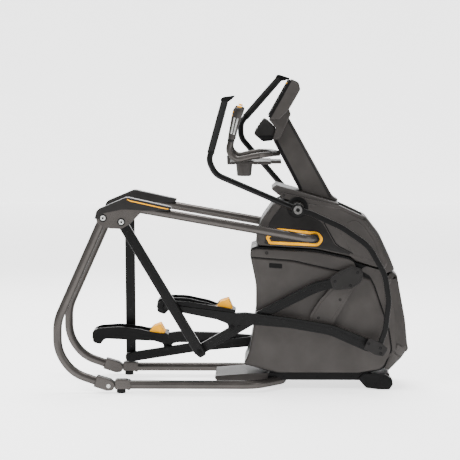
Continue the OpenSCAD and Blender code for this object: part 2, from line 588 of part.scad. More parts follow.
translate([mid_x, 0, 0]) grip_sensors();
translate([mid_x, 0, 0]) cup_tray();
translate([mid_x, 0, 0]) lever_axle();
translate([mid_x, 0, 0]) crank_bearings();
translate([mid_x, 0, 0]) wheel_housings();
translate([mid_x, 0, 0]) screws();
translate([mid_x, 0, 0]) power_inlet();
translate([mid_x, 0, 0]) lift_actuator();
translate([mid_x, 0, 0]) drive_belt();
translate([mid_x, 0, 0]) rail(-1);  // right_rail
translate([mid_x, 0, 0]) rail(1);  // left_rail
translate([mid_x, 0, 0]) brackets();
translate([mid_x, 0, 0]) bracket_covers();
translate([mid_x, 0, 0]) pillar(-1);  // right_pillar
translate([mid_x, 0, 0]) pillar(1);  // left_pillar
translate([mid_x, 0, 0]) knuckles();
translate([mid_x, 0, 0]) pivot_bolts();
translate([mid_x, 0, 0]) crank_axle();
translate([mid_x, 0, 0]) crank_covers();
translate([mid_x, 0, 0]) drive_pulley();
translate([mid_x, 0, 0]) flywheel();
translate([mid_x, 0, 0]) suspension_arm(-1);  // right_suspension_arm
translate([mid_x, 0, 0]) suspension_arm(1);  // left_suspension_arm
translate([mid_x, 0, 0]) link_arm(-1);  // right_link_arm
translate([mid_x, 0, 0]) link_arm(1);  // left_link_arm
translate([mid_x, 0, 0]) pedal_arm(-1);  // right_pedal_arm
translate([mid_x, 0, 0]) pedal_arm(1);  // left_pedal_arm
translate([mid_x, 0, 0]) footplate(-1);  // right_footplate
translate([mid_x, 0, 0]) footplate(1);  // left_footplate
translate([mid_x, 0, 0]) tread(-1);  // right_tread
translate([mid_x, 0, 0]) tread(1);  // left_tread
translate([mid_x, 0, 0]) toe_wedge(-1);  // right_toe_wedge
translate([mid_x, 0, 0]) toe_wedge(1);  // left_toe_wedge
translate([mid_x, 0, 0]) lever(-1);  // right_lever
translate([mid_x, 0, 0]) lever(1);  // left_lever
translate([mid_x, 0, 0]) grip(-1);  // right_grip
translate([mid_x, 0, 0]) grip(1);  // left_grip
translate([mid_x, 0, 0]) wheel(-1);  // right_wheel
translate([mid_x, 0, 0]) wheel(1);  // left_wheel
translate([mid_x, 0, 0]) button(-1);  // right_button
translate([mid_x, 0, 0]) button(1);  // left_button
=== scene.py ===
"""Looks of an elliptical trainer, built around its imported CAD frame.

Outlines in the side plane are [x, z, corner radius] in millimetres. They share one working origin,
which is found from the crank's axle. A side is -1 for the right and 1 for the left.
"""
import json
import math

import bmesh
import bpy
from mathutils import Matrix, Vector


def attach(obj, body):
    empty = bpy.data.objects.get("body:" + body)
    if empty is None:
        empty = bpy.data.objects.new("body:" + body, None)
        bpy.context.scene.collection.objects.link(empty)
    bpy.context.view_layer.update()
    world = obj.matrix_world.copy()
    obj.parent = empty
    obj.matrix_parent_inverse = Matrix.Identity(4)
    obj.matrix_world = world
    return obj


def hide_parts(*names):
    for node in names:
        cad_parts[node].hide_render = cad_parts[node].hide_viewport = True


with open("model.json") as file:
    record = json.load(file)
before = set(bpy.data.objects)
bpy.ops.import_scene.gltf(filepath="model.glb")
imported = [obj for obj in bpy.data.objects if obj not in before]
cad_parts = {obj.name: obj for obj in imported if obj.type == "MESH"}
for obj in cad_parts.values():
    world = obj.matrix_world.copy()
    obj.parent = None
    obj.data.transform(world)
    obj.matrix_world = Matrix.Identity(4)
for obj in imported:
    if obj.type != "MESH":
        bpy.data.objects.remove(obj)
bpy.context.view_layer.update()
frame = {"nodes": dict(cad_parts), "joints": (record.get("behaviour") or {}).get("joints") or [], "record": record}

JOINTS = {j["name"]: j for j in frame["joints"]}
SIDES = ((-1, "right"), (1, "left"))
CRANK = (455.0, 395.0)
SHIFT = JOINTS["crank_turn"]["pos_m"][0] * 1000 - CRANK[0]
MM = 0.001


def pivot(name):
    """A joint's place in the side plane, in working millimetres."""
    x, _, z = JOINTS[name]["pos_m"]
    return Vector((x * 1000 - SHIFT, z * 1000))


# ---- Small geometry ----
def turned(p, degrees):
    a = math.radians(degrees)
    return Vector((p[0] * math.cos(a) - p[1] * math.sin(a), p[0] * math.sin(a) + p[1] * math.cos(a)))


def angle_of(v):
    return math.degrees(math.atan2(v[1], v[0]))


def corner(a, b, c, r, steps):
    """The corner at b between a and c as an arc of radius r."""
    u, v = (a - b).normalized(), (c - b).normalized()
    half = math.acos(max(-1, min(1, u.dot(v)))) / 2
    if r <= 0 or half > math.radians(89.5):
        return [b]
    reach = min(r / math.tan(half), (a - b).length * 0.499, (c - b).length * 0.499)
    arc = reach * math.tan(half)
    out, across = (u + v).normalized(), (v - u).normalized()
    centre = b + out * arc / math.sin(half)
    turns = [(math.pi / 2 - half) * (2 * i / steps - 1) for i in range(steps + 1)]
    return [centre - out * arc * math.cos(t) + across * arc * math.sin(t) for t in turns]


def rounded(points, steps=8):
    """A closed outline with its corners rounded."""
    flat = [Vector(p[:2]) for p in points]
    n = len(flat)
    made = []
    for i, p in enumerate(points):
        made += corner(flat[i - 1], flat[i], flat[(i + 1) % n], p[2] if len(p) > 2 else 0, steps)
    return made


def route(points, radius, steps=10):
    """An open path with rounded bends; radius is one number or one for each point."""
    pts = [Vector(p) for p in points]
    made = [pts[0]]
    for i in range(1, len(pts) - 1):
        r = radius[i] if isinstance(radius, (list, tuple)) else radius
        made += corner(pts[i - 1], pts[i], pts[i + 1], r, steps)
    return made + [pts[-1]]


def placed(points, at, degrees):
    """Outline points given about a pivot, turned and moved to it."""
    made = []
    for p in points:
        q = Vector(at) + turned(p, degrees)
        made.append((q.x, q.y, p[2] if len(p) > 2 else 0))
    return made


def in_plane(points, y):
    return [Vector((p[0], y, p[1])) for p in points]


def side_path(points, y, radius=0, steps=10):
    return in_plane(route([(q[0], q[1]) for q in points], radius, steps), y)


# ---- Making pieces ----
def weigh(piece):
    piece.modifiers.new("weighted", "WEIGHTED_NORMAL").keep_sharp = True


def soften(piece, width, degrees):
    """Bevels the edges sharper than an angle, by a width in millimetres."""
    bevel = piece.modifiers.new("edges", "BEVEL")
    bevel.width = width * MM
    bevel.segments = 2
    bevel.limit_method = "ANGLE"
    bevel.angle_limit = math.radians(degrees)


def to_frame(bm):
    """Moves a bmesh from working millimetres to metres in the row frame."""
    for v in bm.verts:
        v.co = Vector(((v.co.x + SHIFT) * MM, v.co.y * MM, v.co.z * MM))


def finish_mesh(bm, name, body, material, replaces=(), sharp=35):
    """Turns a bmesh in working millimetres into a piece in the row frame that rides on a body."""
    bmesh.ops.remove_doubles(bm, verts=bm.verts, dist=0.01)
    bmesh.ops.recalc_face_normals(bm, faces=bm.faces)
    to_frame(bm)
    mesh = bpy.data.meshes.new(name)
    bm.to_mesh(mesh)
    bm.free()
    for f in mesh.polygons:
        f.use_smooth = True
    mesh.set_sharp_from_angle(angle=math.radians(sharp))
    piece = bpy.data.objects.new(name, mesh)
    bpy.context.scene.collection.objects.link(piece)
    material = MATERIALS[material]
    piece.data.materials.append(material)
    weigh(piece)
    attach(piece, body)
    if replaces:
        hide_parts(*replaces)
    return piece


def add_slab(bm, outline, y0, y1, bevel, segments=3):
    """A plate in the side plane between two distances, with both rims rounded."""
    lo, hi = min(y0, y1), max(y0, y1)
    own = bmesh.new()
    ring = [own.verts.new((p[0], lo, p[1])) for p in outline]
    face = own.faces.new(ring)
    made = bmesh.ops.extrude_face_region(own, geom=[face])
    for v in [g for g in made["geom"] if isinstance(g, bmesh.types.BMVert)]:
        v.co.y = hi
    own.normal_update()
    rims = [e for e in own.edges if abs(e.verts[0].co.y - e.verts[1].co.y) < 1e-6]
    if bevel > 0:
        bmesh.ops.bevel(own, geom=rims, offset=bevel, segments=segments, profile=0.5, affect="EDGES",
            clamp_overlap=True)
    add_bmesh(bm, own)


def add_bmesh(bm, own):
    mesh = bpy.data.meshes.new("part")
    own.to_mesh(mesh)
    own.free()
    bm.from_mesh(mesh)
    bpy.data.meshes.remove(mesh)


def add_sweep(bm, path, section, up, scale=None, dome=0.0):
    """Sweeps a closed section along a path in the plane square to up. dome rounds both ends."""
    up = Vector(up).normalized()
    m = len(path)
    rings = []
    for i in range(m):
        t = (path[min(i + 1, m - 1)] - path[max(i - 1, 0)]).normalized()
        side = up.cross(t).normalized()
        k = scale(i / (m - 1)) if scale else 1.0
        rings.append([path[i] + side * e[0] * k + up * e[1] * k for e in section])
    t0 = (path[1] - path[0]).normalized()
    t1 = (path[-1] - path[-2]).normalized()
    caps = []
    if dome:
        for ends, t, base in ((rings[0], -t0, path[0]), (rings[-1], t1, path[-1])):
            extra = []
            for j in range(1, 5):
                a = math.radians(85 * j / 4)
                extra.append([base + (p - base) * math.cos(a) + t * dome * math.sin(a) for p in ends])
            caps.append(extra)
        rings = list(reversed(caps[0])) + rings + caps[1]
    verts = [[bm.verts.new(p) for p in ring] for ring in rings]
    n = len(section)
    for a, b in zip(verts, verts[1:]):
        for j in range(n):
            bm.faces.new((a[j], b[j], b[(j + 1) % n], a[(j + 1) % n]))
    bm.faces.new(verts[0])
    bm.faces.new(list(reversed(verts[-1])))


def oval(rx, ry, n=36):
    return [(rx * math.cos(2 * math.pi * i / n), ry * math.sin(2 * math.pi * i / n)) for i in range(n)]


def circle(r):
    return oval(r, r)


def join_rings(bm, rings, steps):
    """Faces between neighbouring rings; a ring of one point ends in a disc or a cone."""
    for p, q in zip(rings, rings[1:]):
        for i in range(steps):
            j = (i + 1) % steps
            loop = []
            for v in (p[i % len(p)], p[j % len(p)], q[j % len(q)], q[i % len(q)]):
                if v not in loop:
                    loop.append(v)
            if len(loop) > 2:
                bm.faces.new(loop)


def spin(bm, place, profile, steps):
    """Turns a profile of [radius, distance]; place(radius, distance, angle) gives each vertex."""
    rings = [[bm.verts.new(place(r, d, 2 * math.pi * i / steps)) for i in range(steps if r > 1e-6 else 1)]
        for r, d in profile]
    join_rings(bm, rings, steps)


def add_lathe(bm, at, profile, side=1, steps=48):
    """Turns a profile of [radius, distance along Y] about an axle along Y."""
    spin(bm, lambda r, y, a: (at[0] + r * math.cos(a), side * y, at[1] + r * math.sin(a)), profile, steps)


def add_turned(bm, base, axis, profile, steps=40):
    """Turns a profile of [radius, distance] about any axis."""
    axis = Vector(axis).normalized()
    u = axis.orthogonal().normalized()
    v = axis.cross(u)
    base = Vector(base)
    spin(bm, lambda r, d, a: base + axis * d + (u * math.cos(a) + v * math.sin(a)) * r, profile, steps)


def shape(make, *args, **options):
    """A bmesh that holds what one maker adds."""
    bm = bmesh.new()
    make(bm, *args, **options)
    return bm


def plate(name, points, y0, y1, bevel, segments, material, replaces=(), body="base", steps=8, sharp=35):
    """A piece made of one slab with rounded corners."""
    slab = shape(add_slab, rounded(points, steps), y0, y1, bevel, segments)
    return finish_mesh(slab, name, body, material, replaces, sharp)


def each_side(make):
    for s, name in SIDES:
        make(s, name)


def once(s, node):
    """Names a CAD piece that spans both sides, for the right side's piece only."""
    return [node] if s < 0 else []


# ---- Materials ----
def linear(rgb):
    """A colour given as 0 to 255 screen values, as scene-linear red, green, blue and alpha."""
    made = []
    for c in rgb:
        c /= 255
        made.append(c / 12.92 if c <= 0.04045 else ((c + 0.055) / 1.055) ** 2.4)
    return (*made, 1.0)


def shade(rgb, k):
    return tuple(min(255, c * k) for c in rgb)


class Recipe:
    """A node material built up step by step. Lengths in it are in metres, in the piece's own space."""

    def __init__(self, slot_name, rgb, name=None, **sockets):
        self.material = bpy.data.materials.new(slot_name)
        self.material.use_nodes = True
        self.material["slot"] = slot_name
        self.nodes = self.material.node_tree.nodes
        self.links = self.material.node_tree.links
        self.shader = self.nodes["Principled BSDF"]
        self.shader.inputs["Base Color"].default_value = linear(rgb)
        for key, value in sockets.items():
            self.shader.inputs[key.replace("_", " ")].default_value = value
        self.place = self.nodes.new("ShaderNodeTexCoord").outputs["Object"]
        self.normal = None

    def noise(self, scale, detail=3.0, rough=0.5, stretch=None):
        node = self.nodes.new("ShaderNodeTexNoise")
        node.inputs["Scale"].default_value = scale
        node.inputs["Detail"].default_value = detail
        node.inputs["Roughness"].default_value = rough
        self.links.new(self.spread(stretch), node.inputs["Vector"])
        return node.outputs["Fac"]

    def spread(self, stretch):
        if not stretch:
            return self.place
        node = self.nodes.new("ShaderNodeMapping")
        node.inputs["Scale"].default_value = stretch
        self.links.new(self.place, node.inputs["Vector"])
        return node.outputs["Vector"]

    def cells(self, scale, feature="F1", stretch=None):
        node = self.nodes.new("ShaderNodeTexVoronoi")
        node.feature = feature
        node.inputs["Scale"].default_value = scale
        self.links.new(self.spread(stretch), node.inputs["Vector"])
        return node.outputs["Distance"]

    def ramp(self, value, low, high, start, end):
        """Maps a value between low and high to one between start and end."""
        node = self.nodes.new("ShaderNodeMapRange")
        node.inputs["From Min"].default_value = low
        node.inputs["From Max"].default_value = high
        node.inputs["To Min"].default_value = start
        node.inputs["To Max"].default_value = end
        self.links.new(value, node.inputs["Value"])
        return node.outputs["Result"]

    def colour(self, value, stops):
        """Colours the surface by a value, with stops of [position, colour]."""
        node = self.nodes.new("ShaderNodeValToRGB")
        ramp = node.color_ramp
        while len(ramp.elements) < len(stops):
            ramp.elements.new(0.5)
        for element, (position, rgb) in zip(ramp.elements, stops):
            element.position = position
            element.color = linear(rgb)
        self.links.new(value, node.inputs["Fac"])
        self.links.new(node.outputs["Color"], self.shader.inputs["Base Color"])
        return self

    def rough(self, value, low, high, start, end):
        self.links.new(self.ramp(value, low, high, start, end), self.shader.inputs["Roughness"])
        return self

    def bump(self, value, height, strength=1.0):
        node = self.nodes.new("ShaderNodeBump")
        node.inputs["Distance"].default_value = height
        node.inputs["Strength"].default_value = strength
        self.links.new(value, node.inputs["Height"])
        if self.normal:
            self.links.new(self.normal, node.inputs["Normal"])
        self.normal = node.outputs["Normal"]
        self.links.new(self.normal, self.shader.inputs["Normal"])
        return self


def metallic_paint(slot_name, rgb, metal=0.45, low=0.30, high=0.44, coat=0.25):
    """Sprayed paint with fine flake, faint orange peel and slow changes of tone."""
    made = Recipe(slot_name, rgb, Metallic=metal, Coat_Weight=coat, Coat_Roughness=0.22,
        Specular_IOR_Level=0.15, Specular_Tint=(0.12, 0.12, 0.12, 1))
    flake = made.cells(1400)
    made.colour(made.noise(9, 4), [(0.3, shade(rgb, 0.94)), (0.5, rgb), (0.72, shade(rgb, 1.07))])
    made.rough(flake, 0.0, 0.7, low, high)
    made.bump(made.noise(420, 2), 0.00012, 0.5)
    made.bump(flake, 0.00004, 0.35)
    return made.material


def moulded(slot_name, rgb, low=0.38, high=0.52, grain=700, depth=0.00012, gloss=0.12):
    """Moulded plastic with a fine leathery grain that varies a little in sheen."""
    made = Recipe(slot_name, rgb, Specular_IOR_Level=gloss)
    grains = made.cells(grain)
    made.colour(made.noise(14, 5, 0.6), [(0.3, shade(rgb, 0.92)), (0.55, rgb), (0.75, shade(rgb, 1.09))])
    made.rough(made.noise(30, 4), 0.3, 0.7, low, high)
    made.bump(grains, depth, 0.45)
    made.bump(made.noise(60, 2), 0.0003, 0.18)
    return made.material


def powder_coat(slot_name, rgb, low=0.34, high=0.46):
    """Satin powder coat with small pebbles and faint dust."""
    made = Recipe(slot_name, rgb, Specular_IOR_Level=0.12)
    made.colour(made.noise(24, 6, 0.7), [(0.35, shade(rgb, 0.88)), (0.5, rgb), (0.8, shade(rgb, 1.25))])
    made.rough(made.noise(45, 5), 0.3, 0.7, low, high)
    made.bump(made.cells(900), 0.00009, 0.4)
    return made.material


def rubbery(slot_name, rgb, grain=500, low=0.62, high=0.8):
    made = Recipe(slot_name, rgb, Specular_IOR_Level=0.16)
    made.colour(made.noise(40, 6, 0.7), [(0.3, shade(rgb, 0.82)), (0.5, rgb), (0.78, shade(rgb, 1.3))])
    made.rough(made.noise(80, 4), 0.3, 0.7, low, high)
    made.bump(made.cells(grain), 0.00025, 0.5)
    made.bump(made.noise(1200, 2), 0.00005, 0.4)
    return made.material


def steel(slot_name, rgb, low=0.2, high=0.36, stretch=(1, 40, 1)):
    """Machined bright metal with turning marks across its axle."""
    made = Recipe(slot_name, rgb, Metallic=0.95)
    marks = made.noise(260, 3, 0.6, stretch)
    made.colour(made.noise(30, 4), [(0.3, shade(rgb, 0.86)), (0.6, rgb), (0.8, shade(rgb, 1.05))])
    made.rough(marks, 0.3, 0.7, low, high)
    made.bump(marks, 0.00004, 0.4)
    return made.material


def build_materials():
    made = [
        metallic_paint("gunmetal_paint", (66, 63, 61), metal=0.72, low=0.22, high=0.34, coat=0.1),
        metallic_paint("gunmetal_cover", (56, 53.5, 52), metal=0.45, low=0.3, high=0.44, coat=0.08),
        moulded("dark_cover", (31, 30, 29.5), low=0.36, high=0.48, gloss=0.08),
        powder_coat("black_arm", (5, 5, 5), low=0.26, high=0.36),
        moulded("black_plastic", (10, 10, 10), low=0.34, high=0.46, gloss=0.08),
        rubbery("grip_rubber", (15, 15, 15)),
        moulded("yellow_plastic", (232, 160, 0), low=0.45, high=0.58, depth=0.00006, gloss=0.03),
        rubbery("rubber", (9, 9, 9), grain=900),
        steel("bright_steel", (205, 205, 203)),
        steel("sensor_metal", (214, 214, 212), low=0.16, high=0.26, stretch=(30, 1, 1)),
    ]
    cast = Recipe("cast_metal", (88, 87, 86), Metallic=0.75)
    cast.colour(cast.noise(70, 6, 0.7), [(0.3, (66, 65, 64)), (0.5, (90, 89, 88)), (0.75, (116, 115, 114))])
    cast.rough(cast.noise(160, 4), 0.3, 0.7, 0.42, 0.62)
    cast.bump(cast.noise(700, 3), 0.0002, 0.6)
    glass = Recipe("screen_glass", (6, 7, 8), Specular_IOR_Level=0.08)
    glass.colour(glass.noise(6, 2), [(0.3, (4, 5, 6)), (0.7, (9, 10, 11))])
    glass.rough(glass.noise(18, 5, 0.7), 0.35, 0.75, 0.2, 0.3)
    made += [cast.material, glass.material]
    return {m["slot"]: m for m in made}


MATERIALS = build_materials()


# ---- Camera, light and floor ----
def add_camera():
    data = bpy.data.cameras.new("camera")
    data.sensor_width = 36
    data.lens = 155.9
    data.clip_end = 60
    down, turn = 4.85, 1.04
    camera = bpy.data.objects.new("camera", data)
    camera.location = (0.1815, -10.8, 1.761)
    camera.rotation_euler = (math.radians(90 - down), 0, math.radians(turn))
    bpy.context.scene.collection.objects.link(camera)
    bpy.context.scene.camera = camera


def add_light(name, place, aim, size, power, colour=(1, 1, 1)):
    data = bpy.data.lights.new(name, "AREA")
    data.shape = "RECTANGLE"
    data.size, data.size_y = size
    data.energy = power
    data.color = colour
    lamp = bpy.data.objects.new(name, data)
    lamp.location = place
    lamp.rotation_euler = (Vector(aim) - Vector(place)).to_track_quat("-Z", "Y").to_euler()
    bpy.context.scene.collection.objects.link(lamp)


def add_studio():
    """A pale floor that sweeps up far behind, with soft light from the upper left and a weaker fill."""
    world = bpy.data.worlds.new("studio")
    world.use_nodes = True
    world.node_tree.nodes["Background"].inputs["Color"].default_value = (1, 1, 1, 1)
    world.node_tree.nodes["Background"].inputs["Strength"].default_value = 0.7
    bpy.context.scene.world = world
    bm = bmesh.new()
    bmesh.ops.create_grid(bm, x_segments=24, y_segments=24, size=14)
    mesh = bpy.data.meshes.new("floor")
    bm.to_mesh(mesh)
    bm.free()
    floor = bpy.data.objects.new("floor", mesh)
    bpy.context.scene.collection.objects.link(floor)
    paint = Recipe("floor", (240, 240, 240), Roughness=0.7, Emission_Color=(1, 1, 1, 1),
        Emission_Strength=1.7)
    paint.colour(paint.noise(1.5, 2), [(0.3, (239, 239, 239)), (0.7, (243, 243, 243))])
    paint.bump(paint.noise(120, 3), 0.0001, 0.2)
    mesh.materials.append(paint.material)
    bm = bmesh.new()
    bmesh.ops.create_grid(bm, x_segments=2, y_segments=2, size=16,
        matrix=Matrix.Translation((0, 14, 8)) @ Matrix.Rotation(math.radians(90), 4, "X"))
    mesh = bpy.data.meshes.new("backdrop")
    bm.to_mesh(mesh)
    bm.free()
    backdrop = bpy.data.objects.new("backdrop", mesh)
    bpy.context.scene.collection.objects.link(backdrop)
    mesh.materials.append(paint.material)
    add_light("key", (-3.2, -4.2, 4.6), (0, 0, 0.7), (2.2, 1.6), 420)
    add_light("top", (0.4, 0.6, 4.6), (0, 0, 0.5), (3.0, 1.6), 260)
    add_light("fill", (4.4, -3.4, 2.4), (0, 0, 0.8), (1.6, 2.4), 60)
    add_light("back", (-1.2, 4.6, 3.2), (0, 0, 0.9), (3.0, 1.2), 160)


add_camera()
add_studio()


# ---- The linkage at rest ----
CRANK_LENGTH = 268
CRANK_TURN = 53.3
LEVER_LENGTH = 851
PEDAL_LENGTH = 782
SUSPENSION_LENGTH = 805
LINK_LENGTH = 892
FRAME_Y = 315
TUBE_R = 23
PILLAR_TOP = Vector((-697, 936))
KNUCKLE = Vector((-672, 41))
LEVER_Y = 326
LOWER_BAR_Y = 352


def meet(a, ra, b, rb):
    """Where circles about a and b meet, on the right of the line from a to b."""
    d = (b - a).length
    u = (b - a) / d
    k = (ra * ra - rb * rb + d * d) / (2 * d)
    return a + u * k - Vector((-u.y, u.x)) * math.sqrt(ra * ra - k * k)


class Side:
    """One side's pins and arm directions, in working millimetres and degrees."""

    def __init__(self, s, name):
        self.s, self.name = s, name
        self.hanger = pivot(name + "_suspension_pivot")
        self.rear_pin = pivot(name + "_link_pivot")
        self.pedal = pivot(name + "_pedal_pivot")
        self.hub = pivot(name + "_lever_pivot")
        self.crank_angle = CRANK_TURN + (180 if s > 0 else 0)
        self.crank_pin = Vector(CRANK) + turned((CRANK_LENGTH, 0), self.crank_angle)
        self.lever_pin = meet(self.pedal, PEDAL_LENGTH, self.hub, LEVER_LENGTH)
        self.hanger_angle = angle_of(self.rear_pin - self.hanger)
        self.link_angle = angle_of(self.crank_pin - self.rear_pin)
        self.pedal_angle = angle_of(self.lever_pin - self.pedal)
        self.lever_angle = angle_of(self.lever_pin - self.hub)


RIGHT, LEFT = (Side(s, name) for s, name in SIDES)
LEVER_TURN = {"right": 0.0, "left": LEFT.lever_angle - RIGHT.lever_angle}


# ---- Housing ----
def front_shell(name, curve, rows, material, replaces=(), thickness=5.0, steps=10):
    """A cover that wraps round the front: curve runs down its middle, a row is [across, back]."""
    pts = route([(p[0], p[1]) for p in curve], [p[2] for p in curve], steps)
    n = len(pts)
    bm = bmesh.new()
    grid = []
    for i, p in enumerate(pts):
        t = (pts[min(i + 1, n - 1)] - pts[max(i - 1, 0)]).normalized()
        out = Vector((-t.y, t.x))
        grid.append([bm.verts.new((p.x - out.x * back, y, p.y - out.y * back)) for y, back in rows])
    for a, b in zip(grid, grid[1:]):
        for j in range(len(rows) - 1):
            bm.faces.new((a[j], a[j + 1], b[j + 1], b[j]))
    piece = finish_mesh(bm, name, "base", material, replaces, sharp=60)
    solid = piece.modifiers.new("thickness", "SOLIDIFY")
    solid.thickness = thickness * MM
    solid.offset = -1
    soften(piece, 1.5, 50)
    return piece


SHELL_Y, PANEL_Y = 196, 185
LOWER_SIDE = [(218, 87, 10), (665, 87, 10), (800, 110, 60), (862, 220, 80), (850, 430, 300), (800, 640, 60),
    (641, 688, 20), (609, 715, 40), (429, 755, 300), (110, 773, 8), (84, 764, 10), (78, 727, 30),
    (110, 571, 300), (110, 422, 300), (76, 205, 300), (43, 136, 12), (94, 124, 20)]


def add_cylinder(bm, at, s, y0, y1, r, edge=1.0, steps=40):
    """A round boss along Y with softened rims."""
    sign = 1 if y1 > y0 else -1
    add_lathe(bm, at, [(0, y0), (r - edge, y0), (r, y0 + sign * edge), (r, y1 - sign * edge), (r - edge, y1),
        (0, y1)], s, steps)


def add_screw(bm, at, s, y, r=5.5):
    """A dished screw with a six-sided socket, standing on the face at y."""
    add_lathe(bm, at, [(0, y - 2), (r, y - 2), (r, y + 0.7), (r * 0.82, y + 1.6), (r * 0.5, y + 1.6)], s, 28)
    add_lathe(bm, at, [(r * 0.5, y + 1.6), (r * 0.46, y - 1.2), (0, y - 1.2)], s, 6)


def lower_shells(s, name):
    body = "gunmetal_cover"
    plate(name + "_shell_inner", LOWER_SIDE, s * 3, s * (SHELL_Y - 7), 4, 3, "black_plastic")
    main = rounded([(218, 91, 14), (665, 91, 14), (790, 112, 60), (838, 216, 80), (820, 330, 300),
        (742, 560, 160), (722, 600, 30), (640, 625, 60), (534, 643.5, 200), (310, 695.5, 300), (84, 714, 12),
        (110, 571, 300), (110, 422, 300), (76, 205, 300), (45, 138, 14), (94, 126, 20)])
    band = rounded([(81, 717, 6), (310, 699, 300), (534, 647, 200), (640, 628, 30), (652, 640, 12),
        (634, 690, 20), (606, 706, 40), (429, 744, 300), (112, 762, 10), (86, 754, 14)])
    flank = rounded([(726, 604, 16), (748, 560, 160), (826, 330, 300), (843, 216, 60), (801, 116, 40),
        (812, 112, 30), (862, 220, 80), (850, 430, 300), (800, 640, 40), (700, 667, 12), (664, 648, 10),
        (716, 618, 20)])
    for part, points, edge in (("main", main, 11), ("band", band, 7), ("flank", flank, 5)):
        top = SHELL_Y - (3 if part == "flank" else 0)
        piece = plate(f"{name}_shell_{part}", points, s * (SHELL_Y - 24), s * top, edge, 6, body)
        if part == "main":
            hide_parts(name + "_lower_shell")
    bm = bmesh.new()
    add_screw(bm, (167, 738), s, SHELL_Y - 0.2, 8.5)
    for x in (257, 440, 628):
        add_screw(bm, (x, 69), s, SHELL_Y - 14.2, 6)
    finish_mesh(bm, name + "_shell_screws", "base", "black_plastic", once(s, "screws"))
    plate(name + "_seam_backing", [(114, 740, 4), (429, 722, 200), (600, 685, 60), (640, 655, 20),
        (788, 614, 4), (798, 658, 4), (655, 703, 20), (618, 731, 40), (432, 769, 200), (120, 788, 4)],
        s * 148, s * 154, 1, 2, "black_plastic")
    plate(name + "_plain_plaque", [(180, 659, 5), (250, 654, 5), (250, 680, 5), (180, 685, 5)],
        s * (SHELL_Y - 1), s * (SHELL_Y + 1.4), 0.8, 2, "black_plastic")
    plate(name + "_skirt", [(170, 50, 8), (700, 50, 8), (760, 84, 12), (700, 100, 0), (222, 100, 0),
        (210, 92, 0), (180, 92, 8)], s * (SHELL_Y - 60), s * (SHELL_Y - 14), 4, 3, "black_plastic")


UPPER_SIDE = [(125, 776.5, 0), (429, 758.5, 300), (611, 718.5, 40), (645, 691, 10), (796, 646, 10),
    (815, 682, 20), (757, 822, 80), (684, 918, 80), (556, 978, 60), (520, 985, 10), (240, 1020, 10),
    (200, 1000, 60), (133, 906, 200), (107, 802, 60)]
SLOT_CUT = [(181, 785, 14), (444, 773, 36), (474, 811, 30), (444, 850, 36), (225, 870, 14), (161, 823, 10)]


def cut_with(piece, outlines, y0, y1):
    """Cuts slots through a piece along Y."""
    for points in outlines:
        bm = bmesh.new()
        add_slab(bm, points, y0, y1, 0)
        to_frame(bm)
        mesh = bpy.data.meshes.new("cutter")
        bm.to_mesh(mesh)
        bm.free()
        cutter = bpy.data.objects.new("cutter", mesh)
        bpy.context.scene.collection.objects.link(cutter)
        boolean = piece.modifiers.new("cut", "BOOLEAN")
        boolean.object = cutter
        boolean.operation = "DIFFERENCE"
        boolean.solver = "EXACT"
        bpy.context.view_layer.update()
        view = bpy.context.evaluated_depsgraph_get()
        made = bpy.data.meshes.new_from_object(piece.evaluated_get(view))
        piece.modifiers.clear()
        piece.data = made
        bpy.data.objects.remove(cutter)


def grown(outline, t):
    """A closed anticlockwise outline moved outwards by t."""
    n = len(outline)
    made = []
    for i in range(n):
        a = (outline[i] - outline[i - 1])
        b = (outline[(i + 1) % n] - outline[i])
        if a.length < 1e-6 or b.length < 1e-6:
            continue
        na = Vector((a.y, -a.x)).normalized()
        nb = Vector((b.y, -b.x)).normalized()
        m = (na + nb).normalized()
        made.append(outline[i] + m * t / max(0.5, m.dot(na)))
    return made


